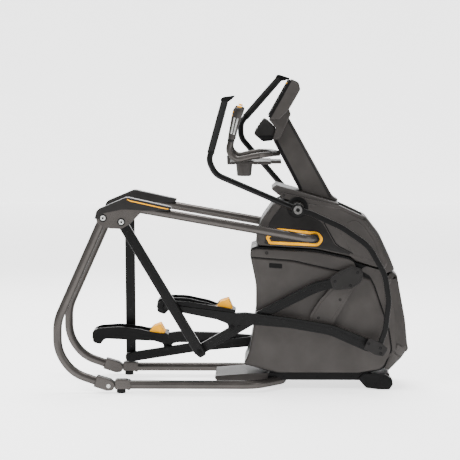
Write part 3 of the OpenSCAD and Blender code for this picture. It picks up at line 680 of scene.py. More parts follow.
def upper_panels(s, name):
    slot = rounded(SLOT_CUT)
    panel = plate(name + "_panel", UPPER_SIDE, s * (PANEL_Y - 34), s * PANEL_Y, 9, 6, "gunmetal_cover",
        [name + "_upper_panel"])
    lo, hi = sorted((s * (PANEL_Y - 60), s * (PANEL_Y + 20)))
    cut_with(panel, [slot], lo, hi)
    weigh(panel)
    inset = rounded([(158, 784, 10), (429, 767, 300), (606, 728, 30), (618, 734, 6), (552, 768, 10),
        (530, 784, 20), (466, 896, 20), (420, 934, 40), (330, 1012, 20), (246, 1012, 30), (212, 966, 60),
        (176, 896, 160), (154, 810, 60)])
    dark = plate(name + "_panel_inset", inset, s * (PANEL_Y - 8), s * (PANEL_Y + 2), 1.4, 3, "dark_cover")
    cut_with(dark, [slot], lo, hi)
    # the inner wall seen through the slot
    plate(name + "_inner_wall", UPPER_SIDE, s * 100, s * 104, 1, 1, "black_plastic")
    # the light arch along the rear edge
    arch = rounded([(119, 786, 6), (118, 800, 30), (141, 902, 160), (204, 990, 50), (236, 1010, 10),
        (262, 1006, 10), (232, 972, 30), (181, 905, 160), (158, 800, 40), (156, 786, 6)])
    plate(name + "_arch", arch, s * (PANEL_Y - 6), s * (PANEL_Y + 6), 4, 5, "gunmetal_cover")
    # the grey triangle low at the front, inside a black groove
    plate(name + "_front_facet", [(560, 850, 8), (632, 727, 6), (726, 703, 12), (790, 668, 8),
        (742, 806, 60), (690, 880, 60), (640, 920, 60), (600, 900, 30)], s * (PANEL_Y - 6),
        s * (PANEL_Y + 3), 2.5, 5, "gunmetal_cover")
    plate(name + "_groove", [(470, 900, 2), (534, 786, 10), (556, 768, 10), (634, 729, 2), (637, 733, 2),
        (560, 773, 10), (538, 790, 10), (474, 904, 2)], s * (PANEL_Y - 4), s * (PANEL_Y + 2.4), 0.6, 2,
        "black_plastic")
    # the recess and ring round the lever's axle
    finish_mesh(shape(add_lathe, RIGHT.hub, [(34, PANEL_Y - 4), (56, PANEL_Y - 4), (57, PANEL_Y + 3),
        (50, PANEL_Y + 6), (38, PANEL_Y + 6), (34, PANEL_Y + 2)], s, 56), name + "_hub_ring", "base",
        "black_plastic")


def slot_bezels(s, name):
    """A yellow rim with a sloping inner wall round each slot."""
    outer = rounded(SLOT_CUT, 10)
    bm = bmesh.new()
    rings = []
    for t, y in ((0.5, PANEL_Y - 30), (0.5, PANEL_Y + 2), (-1, PANEL_Y + 5), (-12, PANEL_Y + 5.4),
        (-15, PANEL_Y + 3), (-22, PANEL_Y - 10), (-26, PANEL_Y - 28)):
        rings.append([bm.verts.new((p.x, s * y, p.y)) for p in grown(outer, t)])
    join_rings(bm, rings + rings[:1], len(rings[0]))
    finish_mesh(bm, name + "_slot_rim", "base", "yellow_plastic", once(s, "slot_bezels"), sharp=50)


def roof():
    """The curved wall that closes the upper housing between its two panels."""
    top = [(124, 778, 0), (109, 802, 60), (134, 906, 200), (200, 998, 60), (240, 1017, 20), (520, 982, 10),
        (556, 975, 60), (683, 915, 80), (755, 821, 80), (812, 682, 20), (797, 650, 0)]
    front_shell("upper_roof", top, [(-154, 0), (-70, 0), (0, 0), (70, 0), (154, 0)], "gunmetal_cover", (),
        4.0, 8)


each_side(lower_shells)
each_side(upper_panels)
roof()
each_side(slot_bezels)


# ---- Tubes of the frame ----
def tube(name, path, r, up, replaces, squash=1.0):
    finish_mesh(shape(add_sweep, path, oval(r, r * squash), up), name, "base", "gunmetal_paint", replaces,
        sharp=45)


def floor_tubes(s, name):
    path = route([(-575, s * FRAME_Y, 45), (110, s * FRAME_Y, 45), (250, s * 140, 45), (250, s * 55.4, 45)],
        [0, 150, 60, 0], 12)
    tube(name + "_floor_tube", path, 24, (0, 0, 1), once(s, "base_tubes"), 0.96)


def rails(s, name):
    rear, front = Vector((-520, 985.6)), Vector((424, 819))
    along = Vector((front.x - rear.x, 0, front.y - rear.y)).normalized()
    across = Vector((0, s, 0))
    turn = Vector((front.x, s * FRAME_Y, front.y))
    path = route([Vector((rear.x, s * FRAME_Y, rear.y)), turn, turn - across * 190], [0, 70, 0], 16)
    tube(name + "_rail_tube", path, TUBE_R, along.cross(across) * s, [name + "_rail"])


def pillars(s, name):
    lean = (PILLAR_TOP - Vector((-944, 385))).normalized()
    path = side_path([PILLAR_TOP - lean * 24, (-944, 385), (-944, 225), (-865, 108), (-734, 62)],
        s * FRAME_Y, [0, 240, 210, 200, 0], 20)
    bm = bmesh.new()
    add_sweep(bm, path, circle(TUBE_R), (0, 1, 0))
    block = [(-22, -20, 10), (22, -20, 10), (22, 18, 12), (-22, 18, 12)]
    add_slab(bm, rounded(placed(block, PILLAR_TOP - lean * 2, -22.3)), s * (FRAME_Y - 18),
        s * (FRAME_Y + 18), 3, 3)
    finish_mesh(bm, name + "_pillar_tube", "base", "gunmetal_paint", [name + "_pillar"], sharp=45)


def knuckles_and_feet():
    for s, name in SIDES:
        fall = -17
        collar = [(-74, -31, 6), (0, -32, 30), (33, -20, 24), (33, 20, 24), (0, 32, 20), (-74, 31, 6)]
        plate(name + "_knuckle", placed(collar, KNUCKLE + Vector((0, 4)), fall), s * (FRAME_Y - 30),
            s * (FRAME_Y + 30), 8, 5, "gunmetal_paint", once(s, "knuckles"))
        tee = [(-640, 22, 10), (-568, 22, 6), (-568, 76, 10), (-640, 76, 14)]
        plate(name + "_tee", tee, s * (FRAME_Y - 27), s * (FRAME_Y + 27), 7, 5, "gunmetal_paint",
            once(s, "rear_tees"))
        # a clamp band on each side of the knuckle's joint
        plate(name + "_tee_band", [(-575, 18, 12), (-556, 18, 8), (-556, 72, 8), (-575, 72, 12)],
            s * (FRAME_Y - 26), s * (FRAME_Y + 26), 3, 3, "gunmetal_paint")
    bm = bmesh.new()
    for s, name in SIDES:
        for x, y, z0, r, top in ((-606, FRAME_Y, 0, 24, 21.7), (-44, 120, 0, 30, 39.7),
            (727, 120, 0, 24, 12)):
            add_turned(bm, (x, s * y, z0), (0, 0, 1), [(0, 0), (r - 4, 0), (r - 1, 1.5), (r, 5),
                (r, top - 4), (r - 3, top - 1), (r - 8, top), (0, top)], 44)
    finish_mesh(bm, "floor_feet", "base", "rubber", ["rubber_feet"])


PLATE = [(-735, 934, 20), (-722, 900, 30), (-661, 880, 60), (-600, 878, 40), (-556, 903, 40),
    (-488, 972, 14), (-420.4, 966, 4), (-420.4, 986, 4), (-560, 1012, 20), (-690, 978, 20)]
COVER = [(-741, 931, 4), (-732, 970, 8), (-720, 984, 20), (-579, 1044, 24), (-560, 1044, 10), (-338, 995, 8),
    (-336, 984, 6), (-352, 974, 10), (-480, 976, 40), (-590, 982, 120), (-700, 960, 60), (-712, 932, 6)]


def add_pivot_bolt(bm, at, s, y, r):
    """A bright hexagon bolt in a washer."""
    add_lathe(bm, at, [(r * 1.0, y - 1), (r * 1.0, y + 1.6), (r * 0.94, y + 2.4), (r * 0.74, y + 2.4),
        (r * 0.7, y + 5), (r * 0.6, y + 6.4), (r * 0.42, y + 6.4), (r * 0.4, y + 3), (0, y + 3)], s, 48)


def brackets(s, name):
    bm = bmesh.new()
    for a, b in ((TUBE_R + 0.5, 29), (-29, -TUBE_R - 0.5)):
        add_slab(bm, rounded(PLATE, 10), s * (FRAME_Y + a), s * (FRAME_Y + b), 1.6, 3)
    finish_mesh(bm, name + "_bracket_plates", "base", "gunmetal_paint", once(s, "brackets"))
    plate(name + "_bracket_cap", COVER, s * (FRAME_Y - 34), s * (FRAME_Y + 34), 6, 6, "dark_cover",
        once(s, "bracket_covers"), steps=10)
    # the yellow strip set in the cap's upper edge
    line = [(-568, 1038), (-552, 1030), (-372, 990), (-350, 986), (-350, 982), (-374, 985), (-552, 1024),
        (-568, 1033)]
    plate(name + "_bracket_strip", [(p[0], p[1], 2) for p in reversed(line)], s * (FRAME_Y + 28),
        s * (FRAME_Y + 34.8), 1, 2, "yellow_plastic")
    bm = bmesh.new()
    for at in (PILLAR_TOP, pivot(name + "_suspension_pivot")):
        add_pivot_bolt(bm, at, s, FRAME_Y + 29, 14)
    add_pivot_bolt(bm, KNUCKLE, s, FRAME_Y + 30, 11)
    finish_mesh(bm, name + "_frame_bolts", "base", "bright_steel", once(s, "pivot_bolts"))
    bm = bmesh.new()
    for at in (PILLAR_TOP, pivot(name + "_suspension_pivot")):
        add_lathe(bm, at, [(0, FRAME_Y + 28.5), (21, FRAME_Y + 28.5), (21, FRAME_Y + 29.6),
            (20, FRAME_Y + 30.2), (0, FRAME_Y + 30.2)], s, 48)
        add_lathe(bm, at, [(0, FRAME_Y + 31), (7.5, FRAME_Y + 31), (7.5, FRAME_Y + 34),
            (6.5, FRAME_Y + 34.6), (0, FRAME_Y + 33)], s, 6)
    finish_mesh(bm, name + "_bolt_washers", "base", "black_plastic")


def wheel_cheeks(s, name):
    """A round boss and two screws on the outside of each wheel housing."""
    bm = bmesh.new()
    add_lathe(bm, (800, 44), [(0, 196), (24, 196), (27, 198), (27, 200), (25, 201.4), (0, 201.4)], s, 48)
    for x in (706, 752):
        add_screw(bm, (x, 32), s, 198.2, 6)
    finish_mesh(bm, name + "_wheel_cheek", "base", "black_plastic")


each_side(floor_tubes)
each_side(rails)
each_side(pillars)
knuckles_and_feet()
each_side(brackets)
each_side(wheel_cheeks)


# ---- Hanging arms, link arms and pedals ----
def plate_piece(name, body, at, a, parts, material, replaces=(), s=1, steps=8):
    """A piece made of plates turned by a about a pivot, each [outline, inner y, outer y, edge radius]."""
    bm = bmesh.new()
    for outline, y0, y1, edge in parts:
        add_slab(bm, rounded(placed(outline, at, a), steps), s * y0, s * y1, edge, 4)
    return finish_mesh(bm, name, body, material, replaces)


def suspension_arm(side):
    s, name = side.s, side.name
    length = SUSPENSION_LENGTH
    bar = [(-27, -20, 18), (0, -27, 10), (length - 4, -27, 8), (length + 31, -14, 12), (length + 31, 24, 10),
        (length - 4, 27, 8), (0, 27, 10), (-27, 20, 18)]
    rib = [(60, -15, 8), (length - 60, -15, 8), (length - 60, 15, 8), (60, 15, 8)]
    at, a = side.hanger, side.hanger_angle
    plate_piece(name + "_hanger", name + "_suspension", at, a, [(bar, 299, 331, 5), (rib, 330, 332.4, 1)],
        "black_arm", [name + "_suspension_arm"], s)


def link_arm(side):
    s, name = side.s, side.name
    length = LINK_LENGTH
    bar = [(-27, -18, 18), (0, -27, 10), (380, 4, 500), (700, 9, 300), (length - 108, -8, 0),
        (length - 90, 42, 0), (700, 64, 300), (330, 52, 500), (0, 27, 20), (-27, 20, 18)]
    rib = [(40, -8, 6), (380, 18, 500), (700, 24, 300), (length - 130, 12, 6), (length - 130, 34, 6),
        (700, 47, 300), (330, 36, 500), (40, 12, 6)]
    at, a = side.rear_pin, side.link_angle
    plate_piece(name + "_link_bar", name + "_link", at, a, [(bar, 234, 258, 4), (rib, 257, 259.6, 1)],
        "black_arm", [name + "_link_arm"], s)
    cap = [(-112, -14, 10), (-88, -28, 16), (-20, -52, 30), (40, -44, 30), (66, -14, 30), (74, 20, 26),
        (30, 56, 40), (-40, 60, 60), (-104, 48, 16)]
    crown = [(-96, -4, 10), (-78, -18, 14), (-16, -38, 26), (36, -32, 24), (54, -8, 22), (60, 16, 20),
        (26, 44, 30), (-38, 48, 50), (-90, 38, 14)]
    at = side.crank_pin
    plate_piece(name + "_link_cap", name + "_link", at, a, [(cap, 231, 262, 8), (crown, 261, 263.5, 1.6)],
        "dark_cover", s=s, steps=10)
    bm = bmesh.new()
    for e in ((44, 12), (-18, -34), (-84, 22)):
        p = Vector(at) + turned(e, a)
        add_screw(bm, p, s, 263, 7.5)
    finish_mesh(bm, name + "_link_cap_screws", name + "_link", "black_plastic")
    bm = bmesh.new()
    add_cylinder(bm, side.rear_pin, s, 258, 336, 9)
    add_pivot_bolt(bm, side.rear_pin, s, 332.4, 15)
    add_cylinder(bm, side.pedal, s, 233, 296, 9)
    add_pivot_bolt(bm, side.pedal, s, 295.4, 15)
    finish_mesh(bm, name + "_link_pins", name + "_link", "black_plastic")


def crank(side):
    """The crank arm and its teardrop cover, with two screws."""
    s, name = side.s, side.name
    at, a = Vector(CRANK), side.crank_angle
    length = CRANK_LENGTH
    cover = [(-62, -46, 44), (-40, -74, 44), (60, -70, 60), (length + 16, -40, 36), (length + 34, 0, 30),
        (length + 10, 44, 36), (70, 60, 60), (-40, 52, 40)]
    ridge = [(-40, -44, 30), (0, -58, 40), (length - 20, -34, 24), (length + 10, -4, 20),
        (length - 20, 30, 24), (60, 44, 50), (-30, 36, 24)]
    plate_piece(name + "_crank_cap", "crank", at, a, [(cover, 214.5, 227, 6), (ridge, 226, 229, 2)],
        "gunmetal_cover", once(s, "crank_covers"), s, steps=12)
    bm = bmesh.new()
    add_screw(bm, at + turned((length * 0.52, -26), a), s, 228.4, 7)
    add_screw(bm, at + turned((-8, 8), a), s, 228.4, 7)
    finish_mesh(bm, name + "_crank_screws", "crank", "black_plastic")


def pedal(side):
    s, name = side.s, side.name
    at, a = side.pedal, side.pedal_angle
    body = name + "_pedal"
    length = PEDAL_LENGTH
    bar = [(-84, 30, 10), (-20, 14, 20), (-22, -16, 24), (22, -16, 24), (26, 18, 20), (60, 26, 60),
        (300, 38, 300), (520, 30, 300), (length - 60, -29, 100), (length + 20, -29, 20),
        (length + 20, 27, 20), (length - 40, 32, 60), (530, 84, 300), (300, 92, 300), (60, 88, 60),
        (8, 78, 10), (-374, 73, 6), (-374, 48, 6)]
    rib = [(50, 44, 10), (300, 52, 300), (520, 45, 300), (length - 70, -10, 60), (length - 70, 14, 8),
        (530, 70, 300), (300, 78, 300), (50, 80, 10)]
    plate_piece(name + "_pedal_bar", body, at, a, [(bar, 265, 295, 4), (rib, 294, 296.4, 1)], "black_arm",
        [name + "_pedal_arm"], s)
    # the cap over the lever's pin
    pin = side.lever_pin
    cap = [(-78, -6, 8), (-16, -32, 14), (30, -36, 14), (50, 8, 14), (14, 34, 30), (-58, 54, 10)]
    plate_piece(name + "_lever_pin_cap", body, pin, a, [(cap, 363, 370, 4)], "dark_cover", s=s, steps=10)
    bm = bmesh.new()
    add_cylinder(bm, pin, s, 296, 341, 10)
    for e in ((-56, 22), (8, 8), (14, -20)):
        add_screw(bm, pin + turned(e, a), s, 369.8, 7.5)
    finish_mesh(bm, name + "_lever_pin_screws", body, "black_plastic")
    footplate(side, body, at, a)


PLATE_IN, PLATE_OUT = 122.6, 264.6
FOOT_BACK, FOOT_DROP = 14, 18


def footplate(side, body, at, a):
    """A deep tray with a crowned rim, a ribbed mat and the yellow toe stop."""
    s, name = side.s, side.name

    def local(points, n=8):
        return rounded(placed([(p[0] - FOOT_BACK, p[1] - FOOT_DROP, p[2]) for p in points], at, a), n)
    # lower shell
    under = local([(-398, 90, 14), (-392, 42, 18), (-350, 34, 14), (-330, 66, 30), (-20, 66, 20),
        (20, 90, 14), (20, 98, 4), (-30, 97, 4), (-340, 94, 30), (-380, 98, 8)])
    plate(name + "_foot_base", under, s * (PLATE_IN + 2), s * (PLATE_OUT - 1), 7, 5, "black_plastic",
        [name + "_footplate"], body=body)
    # rim: two sides, heel and toe walls
    edge = [(-398, 84, 10), (-396, 108, 24), (-360, 124, 40), (-250, 137, 200), (-130, 128, 120),
        (-70, 115, 40), (20, 106, 10), (20, 92, 10)]
    wall = local(edge + [(-40, 94, 10), (-360, 90, 10)])
    bm = bmesh.new()
    add_slab(bm, wall, s * PLATE_IN, s * (PLATE_IN + 10), 4.4, 5)
    add_slab(bm, wall, s * (PLATE_OUT - 10), s * PLATE_OUT, 4.4, 5)
    heel = local([(-399, 62, 10), (-398, 100, 10), (-386, 110, 8), (-372, 108, 6), (-376, 92, 8),
        (-380, 58, 8)])
    add_slab(bm, heel, s * (PLATE_IN + 3), s * (PLATE_OUT - 3), 5, 4)
    toe = local([(-16, 92, 4), (22, 92, 10), (22, 106, 8), (4, 114, 8), (-6, 110, 6)])
    add_slab(bm, toe, s * (PLATE_IN + 3), s * (PLATE_OUT - 3), 4, 4)
    finish_mesh(bm, name + "_foot_rim", body, "black_plastic")
    # outer flange beside the pedal arm
    flange = local([(-398, 90, 14), (-392, 60, 18), (-362, 56, 10), (-361, 93, 4), (-30, 97, 4), (20, 97, 4),
        (20, 112, 10), (-60, 118, 120), (-250, 122, 200), (-366, 112, 30)])
    plate(name + "_foot_flange", flange, s * 265, s * 297, 5, 5, "black_plastic", body=body)
    # mat with lengthwise ribs
    bm = bmesh.new()
    add_slab(bm, local([(-364, 98, 4), (-60, 100.6, 4), (-60, 104.6, 2), (-340, 102, 30), (-364, 103, 3)]),
        s * (PLATE_IN + 12), s * (PLATE_OUT - 12), 1, 2)
    ribs = 13
    for i in range(ribs):
        y = PLATE_IN + 17 + (PLATE_OUT - PLATE_IN - 34) * i / (ribs - 1)
        add_slab(bm, local([(-350, 101, 1), (-70, 103.4, 1), (-70, 107.4, 2), (-350, 105.4, 2)], 3),
            s * (y - 2.4), s * (y + 2.4), 1, 2)
    finish_mesh(bm, name + "_foot_mat", body, "rubber", [name + "_tread"])
    # toe stop: a hollow wedge with three webs
    wedge = local([(-90, 105, 3), (-18, 106, 3), (2, 109, 4), (4, 114, 4), (-24, 160, 6), (-66, 141, 10)])
    plate(name + "_toe_stop", wedge, s * (PLATE_IN + 9), s * (PLATE_OUT - 9), 3, 4, "yellow_plastic",
        [name + "_toe_wedge"], body=body)
    bm = bmesh.new()
    for i in range(3):
        y0 = PLATE_IN + 22 + i * 35
        add_slab(bm, local([(-86.4, 113, 1), (-70.8, 136.4, 1), (-67.9, 134.5, 1), (-83.5, 111.1, 1)]),
            s * y0, s * (y0 + 27), 1, 2)
    finish_mesh(bm, name + "_toe_stop_pads", body, "rubber")


for side in (RIGHT, LEFT):
    suspension_arm(side)
    link_arm(side)
    crank(side)
    pedal(side)


# ---- Front covers, fairing and mast ----
def across(half, edge, depth, crown=5.0, n=5):
    """Rows across a front cover: a chamfer of the given depth at each side of a crowned middle."""
    middle = [(half * (2 * i / (2 * n) - 1), -crown * (1 - ((i - n) / n) ** 2)) for i in range(2 * n + 1)]
    left = [(-half - edge, depth), (-half - edge * 0.94, depth * 0.86), (-half - edge * 0.2, depth * 0.13)]
    right = [(-y, d) for y, d in reversed(left)]
    return left + middle + right


def front_covers():
    upper = [(672, 934, 0), (692, 922, 30), (764, 828, 120), (818, 712, 60), (846, 642, 0)]
    front_shell("front_upper_cover", [(p[0] + 6, p[1] + 3, p[2]) for p in upper], across(146, 36, 66),
        "gunmetal_cover", ["upper_front_cover"])
    lower = [(838, 636, 0), (868, 610, 30), (892, 480, 200), (912, 372, 200), (926, 230, 40), (924, 214, 10),
        (893, 168, 30), (824, 98, 0)]
    front_shell("front_lower_cover", lower, across(146, 46, 64), "gunmetal_cover", ["lower_front_cover"], 5.0)
    # the band that joins the lower cover to the kick panel
    bm = bmesh.new()
    for s in (-1, 1):
        add_slab(bm, rounded([(842, 250, 6), (924, 250, 6), (930, 218, 8), (922, 202, 6), (838, 212, 6)]),
            s * 120, s * 152, 3, 3)
    finish_mesh(bm, "front_band", "base", "gunmetal_cover")


def fairing():
    """The grey fairing that carries the mast, with a shoulder on each side and a capped bolt at its rear."""
    top = [(190, 1079, 6), (236, 1042, 60), (560, 981, 6), (551, 1001, 10), (338, 1066, 30), (218, 1100, 8)]
    plate("fairing", top, -168, 168, 9, 6, "gunmetal_cover", ["top_cowl"], steps=10)
    shoulder = [(236, 1038, 40), (300, 1016, 60), (420, 998, 60), (556, 968, 20), (640, 930, 40),
        (668, 900, 30), (690, 905, 10), (676, 936, 30), (560, 990, 60), (300, 1048, 60), (246, 1060, 10)]
    for s, name in SIDES:
        plate(name + "_shoulder", shoulder, s * 120, s * 180, 6, 5, "gunmetal_cover")
        finish_mesh(shape(add_screw, (258, 1046), s, 179, 7), name + "_shoulder_bolt", "base",
            "black_plastic")


MAST = [(343, 1066, 4), (534, 1008, 4), (560, 1012, 30), (524, 1030, 60), (287, 1454, 30), (288, 1498, 10),
    (236, 1449, 4), (186, 1449, 4), (218, 1402, 6), (203, 1332, 6), (330, 1090, 60)]


def mast():
    plate("mast_body", MAST, -68, 68, 8, 6, "gunmetal_cover", ["mast"], steps=10)
    # a black strip along the mast's rear edge: painted shade that stands for the rear face in shadow
    rear = [(209, 1334, 4), (334, 1092, 30), (346, 1069, 4), (362, 1064, 4), (350, 1094, 30), (224, 1336, 4)]
    plate("mast_rear_painted_shade", rear, -70, 70, 3, 4, "black_plastic")
    edge = [(516, 1030, 10), (286, 1442, 6), (276, 1442, 6), (505, 1026, 10)]
    plate("mast_front_edge", edge, -70, 70, 3, 4, "dark_cover")


# ---- Console ----
def console():
    body = [(295, 1666, 12), (272, 1622, 8), (192, 1482, 8), (176, 1452, 10), (232, 1452, 14),
        (285, 1506, 30), (345, 1611, 14), (335, 1648, 14)]
    plate("console_body", body, -220, 220, 12, 7, "gunmetal_cover", ["console_shell"], steps=10)
    # end caps: a slightly proud band with a lighter top
    for s, name in SIDES:
        plate(name + "_console_end", [(298, 1659, 10), (276, 1618, 6), (262, 1592, 4), (326, 1592, 10),
            (340, 1612, 12), (331, 1644, 12)], s * 214, s * 222, 3, 4, "gunmetal_cover")
    plate("screen_glass_panel", [(288, 1660, 4), (178, 1464, 6), (184, 1460, 4), (294, 1655, 4)], -212, 212,
        2.5, 4, "screen_glass", ["screen"])
    bm = bmesh.new()
    face = [(298, 1653, 3), (188, 1459, 3), (172, 1466, 3), (284, 1665, 3)]
    for y0, y1 in ((-222, -206), (206, 222)):
        add_slab(bm, rounded(face), y0, y1, 1.5, 3)
    finish_mesh(bm, "screen_rim", "base", "black_plastic")
    bm = bmesh.new()
    for y in (-150, 150):
        add_turned(bm, (275, y, 1640.5), (-0.87, 0, 0.49), [(0, -2), (4.4, -2), (4.4, 1.6), (3.4, 2.6),
            (0, 2.6)], 24)
    finish_mesh(bm, "screen_lamps", "base", "yellow_plastic")


def console_neck():
    neck = [(196, 1336, 8), (216, 1402, 10), (178, 1446, 6), (196, 1482, 6), (284, 1509, 8), (296, 1476, 20),
        (284, 1452, 30), (236, 1344, 20)]
    plate("console_neck", neck, -112, 112, 10, 6, "gunmetal_cover", steps=10)


def keypad():
    pod = [(150, 1455, 8), (95, 1371, 14), (143, 1331, 14), (200, 1336, 8), (214, 1400, 10), (172, 1442, 6)]
    plate("keypad_body", pod, -86, 86, 9, 6, "dark_cover", ["keypad_pod"], steps=10)
    # raised keys on the face turned to the user
    along = (Vector((150, 1455)) - Vector((95, 1371))).normalized()
    out = Vector((-along.y, along.x))
    bm = bmesh.new()
    for row in range(3):
        for col in range(5):
            p = Vector((95, 1371)) + along * (26 + row * 20)
            y = (col - 2) * 28
            a = p - along * 6.5 - out * 1.5
            b = p + along * 6.5 - out * 1.5
            c = p + along * 5.6 + out * 2.2
            d = p - along * 5.6 + out * 2.2
            add_slab(bm, [a, b, c, d], y - 10, y + 10, 0.8, 2)
    finish_mesh(bm, "keypad_keys", "base", "rubber")
    plate("keypad_band", [(148, 1330, 4), (196, 1334, 4), (206, 1362, 6), (110, 1362, 8)], -88, 88, 2, 3,
        "black_plastic")


front_covers()
fairing()
mast()
console()
console_neck()
keypad()


# ---- Moving handlebars ----
def on_lever(side, p):
    return side.hub + turned(Vector((p[0], p[1])) - RIGHT.hub, LEVER_TURN[side.name])


def box_section(hx, hz, r, n=5):
    """A rectangle with rounded corners, as a section for a sweep."""
    return [(p.x, p.y) for p in rounded([(-hx, -hz, r), (hx, -hz, r), (hx, hz, r), (-hx, hz, r)], n)]


def lever(side):
    s, name = side.s, side.name
    body = name + "_handlebar"
    lower = [(331, 981), (400, 962), (563, 888), (703, 792), (791, 637), (812, 500), (794, 344), (758, 245)]
    bm = bmesh.new()
    path = side_path([on_lever(side, p) for p in lower], s * LOWER_BAR_Y,
        [0, 80, 300, 200, 200, 200, 200, 0], 8)
    add_sweep(bm, path, box_section(14, 10, 4), (0, 1, 0))
    add_cylinder(bm, side.lever_pin, s, 342, 362, 24, 3)
    upper = [(331, 981), (262, 1009), (-104, 1166), (-138, 1240), (-125, 1290), (-120, 1308)]
    path = side_path([on_lever(side, p) for p in upper], s * LEVER_Y, [0, 80, 90, 120, 0, 0], 14)
    add_sweep(bm, path, circle(16), (0, 1, 0))
    add_lathe(bm, side.hub, [(14, 311), (27, 311), (30, 314), (30, 338), (33, 341), (33, 363), (30, 366),
        (20, 366), (14, 364)], s, 56)
    finish_mesh(bm, name + "_lever_bar", body, "black_arm", [name + "_lever"], sharp=40)
    finish_mesh(shape(add_lathe, side.hub, [(10, 364), (22, 364), (23, 366.5), (21, 368.5), (12, 369),
        (10, 367)], s, 48), name + "_hub_ring", body, "cast_metal")
    finish_mesh(shape(add_lathe, side.hub, [(0, 363), (10.4, 363), (10.4, 367), (6, 367.6), (0, 366)], s,
        48), name + "_hub_cap", body, "black_plastic")
    grip(side, body)


def grip(side, body):
    """An oval ribbed grip with an end collar and a thumb rest turned forward at the top."""
    s, name = side.s, side.name
    foot, top = on_lever(side, (-127, 1284)), on_lever(side, (-54, 1552))
    along = (top - foot)
    span = along.length
    along.normalize()
    bm = bmesh.new()
    steps = 90
    path = in_plane([foot + along * span * i / steps for i in range(steps + 1)], s * LEVER_Y)

    def swell(t):
        rib = 0.018 * math.cos(t * span / 7.5 * 2 * math.pi) if 0.06 < t < 0.9 else 0.0
        return 1.0 + 0.05 * math.sin(math.pi * min(1, max(0, t))) + rib
    add_sweep(bm, path, oval(18.5, 17.5), (0, 1, 0), scale=swell, dome=3)
    finish_mesh(bm, name + "_grip_rubber", body, "grip_rubber", [name + "_grip"], sharp=60)
    ends = in_plane([foot + along * d for d in (-7, -4, 2, 5)], s * LEVER_Y)
    finish_mesh(shape(add_sweep, ends, circle(19.5), (0, 1, 0), scale=lambda t: 0.93
        + 0.07 * math.sin(math.pi * t)), name + "_grip_collar", body, "black_plastic")
    # the thumb rest: a tapering beak that points forward
    beak = [(-76, 1546), (-40, 1544), (-18, 1560), (0, 1577), (-6, 1581), (-62, 1573), (-74, 1566)]
    points = [(*on_lever(side, p), r) for p, r in zip(beak, (10, 8, 14, 4, 5, 12, 8))]
    plate(name + "_thumb_rest", points, s * (LEVER_Y - 15), s * (LEVER_Y + 15), 6, 6, "black_plastic",
        body=body)


# ---- Fixed handles, tray and cup holders ----
HANDLE_Y = 230
CUP_Y = 150


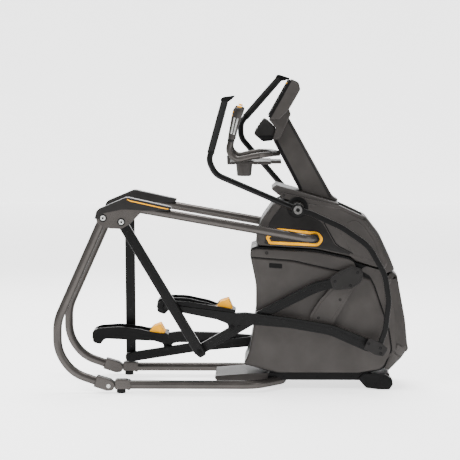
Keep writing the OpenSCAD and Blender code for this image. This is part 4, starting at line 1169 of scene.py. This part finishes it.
def fixed_handle(s, name):
    top, bend = Vector((16, 1494)), Vector((-23, 1341))
    along = (top - bend).normalized()
    out = Vector((-along.y, along.x))
    path = side_path([bend + along * 6, bend, (-38, 1282), (4, 1236), (80, 1254), (128, 1262)], s * HANDLE_Y,
        [0, 60, 50, 50, 60, 0], 14)
    finish_mesh(shape(add_sweep, path, circle(16), (0, 1, 0)), name + "_fixed_tube", "base",
        "gunmetal_paint", once(s, "grip_frame"), sharp=45)
    # flat tapering arm to the mast
    arm = [Vector((x, s * y, z)) for x, y, z in ((118, 230, 1261), (150, 214, 1264), (186, 160, 1265),
        (222, 72, 1263))]
    finish_mesh(shape(add_sweep, route(arm, [0, 60, 80, 0], 8), box_section(22, 13, 8), (0, 0, 1),
        scale=lambda t: 1.12 - 0.26 * t), name + "_fixed_arm", "base", "gunmetal_paint")
    # the moulded grip
    rings = ((0, 17, 17), (0.06, 19.5, 19), (0.3, 20.5, 19.5), (0.62, 23.5, 20.5), (0.84, 29, 22),
        (0.96, 27, 20), (1.0, 22, 15))
    n = 36
    bm = bmesh.new()
    height = (top - bend).length + 20
    made = []
    for t, rx, ry in rings:
        p = bend + along * height * t + out * (4 * math.sin(math.pi * t))
        made.append([bm.verts.new((p.x + out.x * rx * math.cos(2 * math.pi * i / n), s * (HANDLE_Y
            + ry * math.sin(2 * math.pi * i / n)), p.y + out.y * rx * math.cos(2 * math.pi * i / n)))
            for i in range(n)])
    join_rings(bm, made, n)
    bm.faces.new(made[0])
    bm.faces.new(list(reversed(made[-1])))
    pod = finish_mesh(bm, name + "_fixed_grip", "base", "gunmetal_cover", sharp=60)
    smooth = pod.modifiers.new("smooth", "SUBSURF")
    smooth.levels = smooth.render_levels = 2
    # contact strips on its near and far faces, and a collar below
    bm = bmesh.new()
    for side_of in (-1, 1):
        for d in (-6.5, 6.5):
            p0, p1 = bend + along * 34 + out * (d + 1), bend + along * 122 + out * (d * 1.25 + 3)
            y = s * HANDLE_Y + side_of * 18.6
            strip = [Vector((p0.x, y, p0.y)), Vector(((p0.x + p1.x) / 2, y + side_of * 1.2,
                (p0.y + p1.y) / 2)), Vector((p1.x, y + side_of * 1.4, p1.y))]
            add_sweep(bm, strip, box_section(4.2, 2.4, 1.2, 3), (0, 1, 0))
    finish_mesh(bm, name + "_contact_strips", "base", "sensor_metal", once(s, "grip_sensors"))
    collar = in_plane([bend + along * d for d in (-8, -5, 3, 6)], s * HANDLE_Y)
    finish_mesh(shape(add_sweep, collar, circle(19), (0, 1, 0), scale=lambda t: 0.94
        + 0.06 * math.sin(math.pi * t)), name + "_fixed_collar", "base", "dark_cover")
    # toggles that face the user
    bm = bmesh.new()
    for d in (132, 150):
        p = bend + along * d + out * 24
        for y in (-8, 8):
            add_turned(bm, (p.x, s * HANDLE_Y + y, p.y), (out.x, 0, out.y), [(0, -4), (5.4, -4), (5.6, 2),
                (4.4, 3.4), (0, 3.6)], 28)
    finish_mesh(bm, name + "_fixed_toggles", "base", "yellow_plastic")
    # the thumb button on top
    axis = Vector((-JOINTS[name + "_button_press"]["axis"][0], 0, -JOINTS[name + "_button_press"]["axis"][2]))
    tip = Vector((top.x, s * HANDLE_Y, top.y))
    finish_mesh(shape(add_turned, tip + axis * 20, axis, [(0, 1.9), (11, 1.9), (11.5, 4), (11.5, 8),
        (9.5, 10.6), (4, 11.4), (0, 11.4)], 36), name + "_thumb_cap", name + "_thumb_button",
        "yellow_plastic", [name + "_button"])


def tray():
    plate("tray_bridge", [(-44, 1211, 6), (245, 1211, 0), (245, 1227, 0), (-30, 1227, 6), (-34, 1258, 3),
        (-46, 1258, 4)], -105, 105, 3, 4, "gunmetal_cover", ["cup_tray"])
    for s, name in SIDES:
        base = Vector((46, s * CUP_Y, 1148))
        finish_mesh(shape(add_turned, base, (0, 0, 1), [(0, 0), (34, 0), (38, 3), (45, 76), (46, 79),
            (49, 80), (49, 84), (46, 85), (42.5, 85), (41, 82), (36, 6), (33, 4), (0, 4)], 56), name
            + "_cup_holder", "base", "gunmetal_cover")
        finish_mesh(shape(add_turned, base, (0, 0, 1), [(0, 4.4), (32, 4.4), (34.5, 6.4), (38.6, 60),
            (38, 60), (32.5, 7.6), (0, 5.6)], 48), name + "_cup_liner", "base", "rubber")
        for k, (x0, x1) in enumerate(((-44, -2), (94, 190))):
            pts = [(x0, 1211, 6), (x1, 1211, 4), (x1, 1227, 4)] + ([(-30, 1227, 4), (-34, 1258, 4),
                (-46, 1258, 4)] if k == 0 else [(x0, 1227, 4)])
            plate(f"{name}_tray_wing_{k}", pts, s * 104, s * 196, 3, 4, "gunmetal_cover")
        plate(name + "_tray_edge", [(-4, 1213, 3), (96, 1213, 3), (96, 1225, 3), (-4, 1225, 3)], s * 190,
            s * 196, 1.5, 3, "gunmetal_cover")


for side in (RIGHT, LEFT):
    lever(side)
for s, name in SIDES:
    fixed_handle(s, name)
tray()


# ---- CAD pieces that keep their shape ----
def dress(node, material):
    """Gives a CAD piece its finish, softly broken edges and clean shading."""
    piece = frame["nodes"][node]
    piece.data.materials.clear()
    piece.data.materials.append(material)
    weld = piece.modifiers.new("weld", "WELD")
    weld.merge_threshold = 0.00002
    soften(piece, 1.2, 35)
    for f in piece.data.polygons:
        f.use_smooth = True
    piece.data.set_sharp_from_angle(angle=math.radians(30))
    weigh(piece)


slot_of = {s["node"]: s["material_slot"] for s in frame["record"]["subparts"]}
for cad_name, cad_piece in frame["nodes"].items():
    if not cad_piece.hide_render:
        dress(cad_name, MATERIALS[slot_of[cad_name]])
